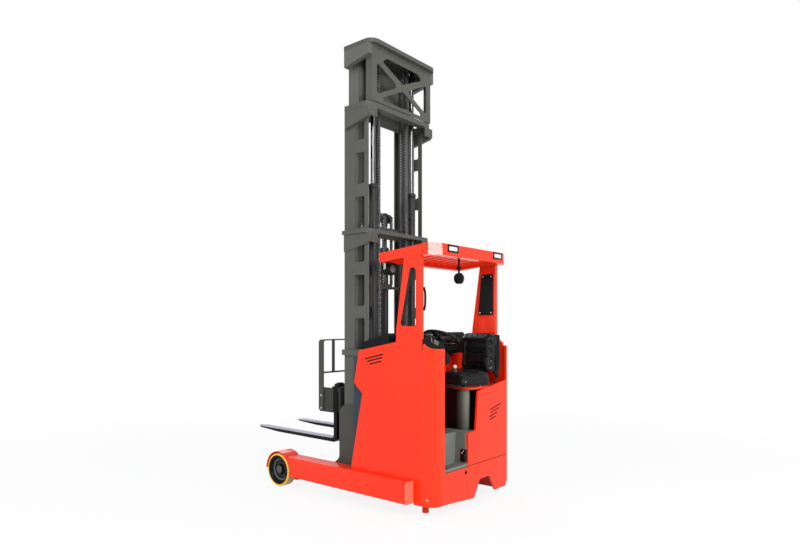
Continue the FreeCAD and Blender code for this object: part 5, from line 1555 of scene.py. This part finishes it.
class TRUCK_OT_fittings(bpy.types.Operator):
    """Makes the lamps, handle, seams, vents, caps and feet of the body"""

    bl_idname = "truck.fittings"
    bl_label = "Body fittings"

    def execute(self, context):
        self.rear_lights()
        self.work_lamp()
        self.fan()
        self.handles()
        self.seams()
        self.louvres()
        self.caps()
        self.wheels()
        self.forks()
        return {"FINISHED"}

    def rear_lights(self):
        """Frames and lenses of the two rear lights."""
        frames, clear = [], []
        z0, z1 = 2.133, 2.189
        for y0, y1 in ((0.208, 0.358), (-0.495, -0.345)):
            for low, high in (((y0 - 0.004, z0 - 0.004), (y1 + 0.004, z0 + 0.012)),
                              ((y0 - 0.004, z1 - 0.012), (y1 + 0.004, z1 + 0.004)),
                              ((y0 - 0.004, z0), (y0 + 0.018, z1)),
                              ((y1 - 0.018, z0), (y1 + 0.004, z1))):
                frames.append(rounded_block((-1.2600, *low), (-1.2500, *high), 0.002, 2))
            clear.append(rounded_block((-1.2585, y0 + 0.017, z0 + 0.011),
                                       (-1.2500, y1 - 0.017, z1 - 0.011), 0.002, 2))
        fitted("rear_light_frames", frames, "gloss")
        fitted("rear_light_lenses", clear, "clear_lens")

    def work_lamp(self):
        """Shell, lens and yoke of the lamp under the guard's front."""
        x, y, z = LAMP_AT
        rim = ((0, 0.0502), (0.004, 0.0515), (0.012, 0.0515), (0.015, 0.047), (0.012, 0.044))
        back = ((0, 0.049), (0.016, 0.045), (0.026, 0.030), (0.030, 0.012))
        fitted("work_lamp_shell", [
            turned_shape(rim, (x - 0.032, y, z), (-1, 0, 0), 36),
            turned_shape(back, (x + 0.029, y, z), FORWARD)], "plastic")
        glass = ((0, 0.044), (0.006, 0.040), (0.010, 0.024), (0.011, 0.002))
        fitted("work_lamp_lens", turned_shape(glass, (x - 0.036, y, z), (-1, 0, 0)), "smoked_lens")
        bars = [
            rounded_block((x - 0.012, y + y0, z + z0), (x + 0.012, y + y1, z + z1), 0.002, 1)
            for y0, y1, z0, z1 in (
                (-0.058, -0.052, 0.0, 0.052), (0.052, 0.058, 0.0, 0.052),
                (-0.058, 0.058, 0.046, 0.0515))]
        bars += [turned_shape(((0, 0.008), (0.010, 0.008), (0.012, 0.005)),
                              (x, y + s * 0.052, z), (0, s, 0), 12) for s in (1, -1)]
        faceted("work_lamp_yoke", bars, "bolt")

    def fan(self):
        """Wire guard and housing of the fan under the roof."""
        x, y, z = FAN_AT
        face = x - 0.023
        wires = []
        for r in (0.013, 0.025, 0.037, FAN_R):
            bulge = 0.008 * (1 - r / FAN_R)
            ring = [Vector((face - bulge, y + r * math.cos(a), z + r * math.sin(a)))
                    for a in (2 * math.pi * k / 32 for k in range(32))]
            wires.append(closed_tube(ring, 0.0016, 6))
        for k in range(10):
            a = 2 * math.pi * k / 10
            edge = (face, y + FAN_R * math.cos(a), z + FAN_R * math.sin(a))
            wires.append(bent_tube([(face - 0.008, y, z), edge], 0.0014, 6))
        hub = ((0, 0.012), (0.006, 0.011), (0.008, 0.004))
        back = ((0, 0.045), (0.010, 0.041), (0.018, 0.026), (0.022, 0.010))
        fitted("fan_guard", wires + [
            turned_shape(hub, (face - 0.004, y, z), (-1, 0, 0), 20),
            turned_shape(back, (x + 0.016, y, z), FORWARD, 28),
            rounded_block((x - 0.014, y - 0.022, z + FAN_R + 0.030),
                          (x + 0.014, y + 0.022, z + FAN_R + 0.058), 0.006, 2)], "plastic")

    def handles(self):
        """Grab handle on the left pillar and the seal at the entry's edge."""
        path = catmull([
            (-1.119, 0.503, 1.672), (-1.129, 0.500, 1.684), (-1.133, 0.499, 1.710),
            (-1.134, 0.499, 1.752), (-1.133, 0.499, 1.794), (-1.129, 0.500, 1.820),
            (-1.119, 0.503, 1.832)], 8)
        fitted("grab_handle", bent_tube(path, 0.009, 14), "plastic")
        fitted("grab_handle_feet", [
            rounded_block((-1.130, 0.489, z - 0.014), (-1.122, 0.515, z + 0.014), 0.003, 2)
            for z in (1.672, 1.832)], "plastic")
        seal = [(-1.1360, 0.4005, z) for z in (0.66, 0.8, 1.0, 1.2, 1.335)]
        fitted("entry_seal", bent_tube(seal, 0.006), "rubber")

    def seams(self):
        """Joint lines and small plates of the body."""
        faceted("panel_seams", [
            bent_tube([(-1.2552, y, 0.3525) for y in ends], 0.0022, 6)
            for ends in ((0.400, 0.060), (0.060, -0.575))], "gap")
        faceted("corner_joint", [
            rounded_block((x - 0.009, 0.5473, 0.102), (x + 0.009, 0.5503, top), 0.001, 1)
            for x, top in ((-1.150, 1.345), (-1.134, 1.394))], "body")
        skid = rounded_block((-1.130, -0.556, 0.032), (-0.900, -0.550, 0.180), 0.002, 1)
        faceted("drive_skid_plate", skid, "body")

    def louvres(self):
        """Dark strips of painted shade in the louvres, and darker red tails of those at the side,
        also painted shade.
        """
        slots = [
            louvre_strip(ends, y0, y1, lambda u, w, d: (u, d, w))
            for ends in SIDE_LOUVRES
            for y0, y1 in ((0.5400, 0.5488), (-0.6338, -0.6250))]
        slots += [louvre_strip(ends, -1.2538, -1.2450, lambda u, w, d: (d, u, w))
                  for ends in REAR_LOUVRES]
        faceted("vent_backs", slots, "gap")
        faceted("vent_tails", [
            bent_tube([(x, y, z) for x, z in ends], [0.0022, 0.0008], 6)
            for ends in LOUVRE_TAILS for y in (0.5498, -0.6348)], "vent_tail")

    def caps(self):
        """Plug, foot collar, hood bolt and grip, and the battery's cell caps."""
        plug = ((0, 0.012), (0.004, 0.012), (0.006, 0.008))
        fitted("jack_plug", turned_shape(plug, (-1.188, 0.5455, 0.158), (-0.4, 1, 0), 20),
               "amber_lens")
        collar = ((0, 0.020), (0.004, 0.0295), (0.010, 0.0295), (0.012, 0.027), (0.084, 0.027))
        fitted("foot_collar", turned_shape(collar, (-1.085, 0.43, 0.016), UP), "body")
        dot = ((0, 0.010), (0.003, 0.010), (0.005, 0.006))
        fitted("hood_bolt", turned_shape(dot, (-0.560, 0.330, 1.418), (0.2, 0, 1), 20),
               "white_plastic")
        grip = catmull([
            (-0.486, -0.10, 1.33), (-0.470, -0.09, 1.33), (-0.462, -0.05, 1.33),
            (-0.462, 0.05, 1.33), (-0.470, 0.09, 1.33), (-0.486, 0.10, 1.33)])
        fitted("hood_grip", bent_tube(grip, 0.007), "plastic")
        lid = ((0, 0.020), (0.008, 0.020), (0.011, 0.014))
        fitted("cell_caps", [
            turned_shape(lid, (-0.70 + 0.08 * j, -0.44 + 0.20 * i, 1.2695), UP, 16)
            for i in range(5) for j in range(3)], "plastic")

    def wheels(self):
        """Hub caps, dished discs and rims of the load wheels."""
        x, z = LOAD_AXLE
        for hand, way in SIDES:
            face = Vector((x, 0.635 * way - way * 0.018, z))
            outer, inner = face + Vector((0, way * 0.016, 0)), face + Vector((0, -way * 0.018, 0))
            for name, finish, at, sides, profile in (
                ("hub_cap", "hub", face, 36, (
                    (-0.004, 0.038), (0.004, 0.037), (0.007, 0.033), (0.0085, 0.027),
                    (0.004, 0.024), (0.004, 0.013), (0.010, 0.011), (0.012, 0.006))),
                ("rim_lip", "rim", outer, 48, (
                    (-0.040, 0.113), (-0.004, 0.116), (0.0, 0.124), (0.0015, 0.132),
                    (-0.002, 0.1378), (-0.0415, 0.1378))),
                ("rim_band", "hub", inner, 48, (
                    (-0.0045, 0.086), (0.0, 0.0875), (0.004, 0.1035), (0.0045, 0.106),
                    (-0.012, 0.107))),
                ("rim_disc", "disc", inner, 48, (
                    (-0.001, 0.038), (0.002, 0.050), (0.002, 0.070), (-0.004, 0.080),
                    (-0.006, 0.105), (-0.001, 0.1125), (-0.012, 0.1125))),
            ):
                shape = turned_shape(profile, at, (0, way, 0), sides)
                fitted(f"load_{name}_{hand}", shape, finish, f"{hand}_load_wheel")

    def forks(self):
        """Latches at the forks' hooks."""
        for hand, way in SIDES:
            y = 0.27 * way
            fitted(f"{hand}_fork_latch", [
                rounded_block((0.028, y - 0.048, 0.925), (0.088, y + 0.048, 0.982), 0.008),
                rounded_block((0.034, y - 0.030, 0.980), (0.076, y + 0.030, 0.992), 0.004, 2),
            ], "fork", "side_shift")


# ------------------------------------------------------------------ stage
FLOOR_HALF = 60.0
EYE = (-4.111, 4.434, 1.558)
EYE_TURN = 219.92
LIGHTS = (
    ("key_light", (-5.5, 5.5, 6.0), (-0.3, 0, 1.6), 3.5, 330),
    ("rear_light", (-7.2, 0.1, 2.9), (-1.0, 0.2, 1.6), 1.3, 210),
    ("side_light", (1.5, 7.5, 2.6), (0, 0, 1.8), 3.0, 150),
    ("front_light", (6.0, -4.0, 5.0), (0, 0, 1.8), 4.0, 170),
)


def floor_material():
    """Pale floor that keeps a soft shadow and fades into the white background."""
    r = Recipe("pale_floor")
    matt = r.node("ShaderNodeBsdfDiffuse", {"Color": (0.8, 0.8, 0.8)})
    glow = r.node("ShaderNodeEmission", {"Color": (1, 1, 1), "Strength": 1.0})
    x, y, _ = r.parts()
    away = r.limit(x * x + y * y, 4.0, 40.0, 0.87, 1.0)
    return r.end(r.node("ShaderNodeMixShader", {0: r.seen() * away, 1: matt, 2: glow}))


def studio():
    """A soft pale light all round that is seen as plain white."""
    r = Recipe("studio", "worlds")
    soft = r.node("ShaderNodeBackground", {"Color": (0.94, 0.96, 1.0), "Strength": 0.62})
    white = r.node("ShaderNodeBackground", {"Color": (1, 1, 1), "Strength": 1.0})
    both = r.node("ShaderNodeMixShader", {0: r.seen(), 1: soft, 2: white})
    return r.end(both, "ShaderNodeOutputWorld")


class TRUCK_OT_stage(bpy.types.Operator):
    """Makes the floor, the lights and the camera"""

    bl_idname = "truck.stage"
    bl_label = "Set the stage"

    def execute(self, context):
        scene = context.scene
        scene.view_settings.view_transform = "Standard"
        mesh = bpy.data.meshes.new("floor")
        corners = ((-1, -1), (1, -1), (1, 1), (-1, 1))
        mesh.from_pydata([(x * FLOOR_HALF, y * FLOOR_HALF, 0) for x, y in corners], [], [
            (0, 1, 2, 3)])
        mesh.materials.append(floor_material())
        floor = linked("floor", mesh)
        scene.world = studio()
        for name, place, target, size, power in LIGHTS:
            lamp = bpy.data.lights.new(name, "AREA")
            lamp.size = size
            lamp.energy = power
            holder = linked(name, lamp)
            holder.location = place
            way = Vector(target) - Vector(place)
            holder.rotation_euler = way.to_track_quat("-Z", "Y").to_euler()
        view = bpy.data.cameras.new("camera")
        view.sensor_width = 36.0
        view.lens = 27.72
        view.shift_x = 0.00625
        view.shift_y = 0.05625
        view.clip_end = 200.0
        scene.camera = linked("camera", view)
        scene.camera.location = EYE
        scene.camera.rotation_euler = (math.radians(90), 0, math.radians(EYE_TURN))
        return {"FINISHED"}


# ------------------------------------------------------------------ the add-on
OPERATORS = (
    TRUCK_OT_finishes,
    TRUCK_OT_seat,
    TRUCK_OT_chains,
    TRUCK_OT_pipes,
    TRUCK_OT_controls,
    TRUCK_OT_fittings,
    TRUCK_OT_fasteners,
    TRUCK_OT_stage,
)


class TRUCK_PT_panel(bpy.types.Panel):
    """The truck's pieces and settings"""

    bl_idname = "TRUCK_PT_panel"
    bl_label = "Reach truck"
    bl_space_type = "VIEW_3D"
    bl_region_type = "UI"
    bl_category = "Truck"

    def draw(self, context):
        column = self.layout.column()
        for settings in (context.scene.truck_finishes, context.scene.truck_sizes):
            for name in settings.__annotations__:
                column.prop(settings, name)
        for operator in OPERATORS:
            column.operator(operator.bl_idname)


CLASSES = (FinishSettings, SizeSettings) + OPERATORS + (TRUCK_PT_panel,)


def register():
    for each in CLASSES:
        bpy.utils.register_class(each)
    bpy.types.Scene.truck_finishes = bpy.props.PointerProperty(type=FinishSettings)
    bpy.types.Scene.truck_sizes = bpy.props.PointerProperty(type=SizeSettings)


def unregister():
    del bpy.types.Scene.truck_sizes
    del bpy.types.Scene.truck_finishes
    for each in reversed(CLASSES):
        bpy.utils.unregister_class(each)


def main():
    register()
    for operator in OPERATORS:
        group, action = operator.bl_idname.split(".")
        getattr(getattr(bpy.ops, group), action)()


if __name__ == "__main__":
    main()
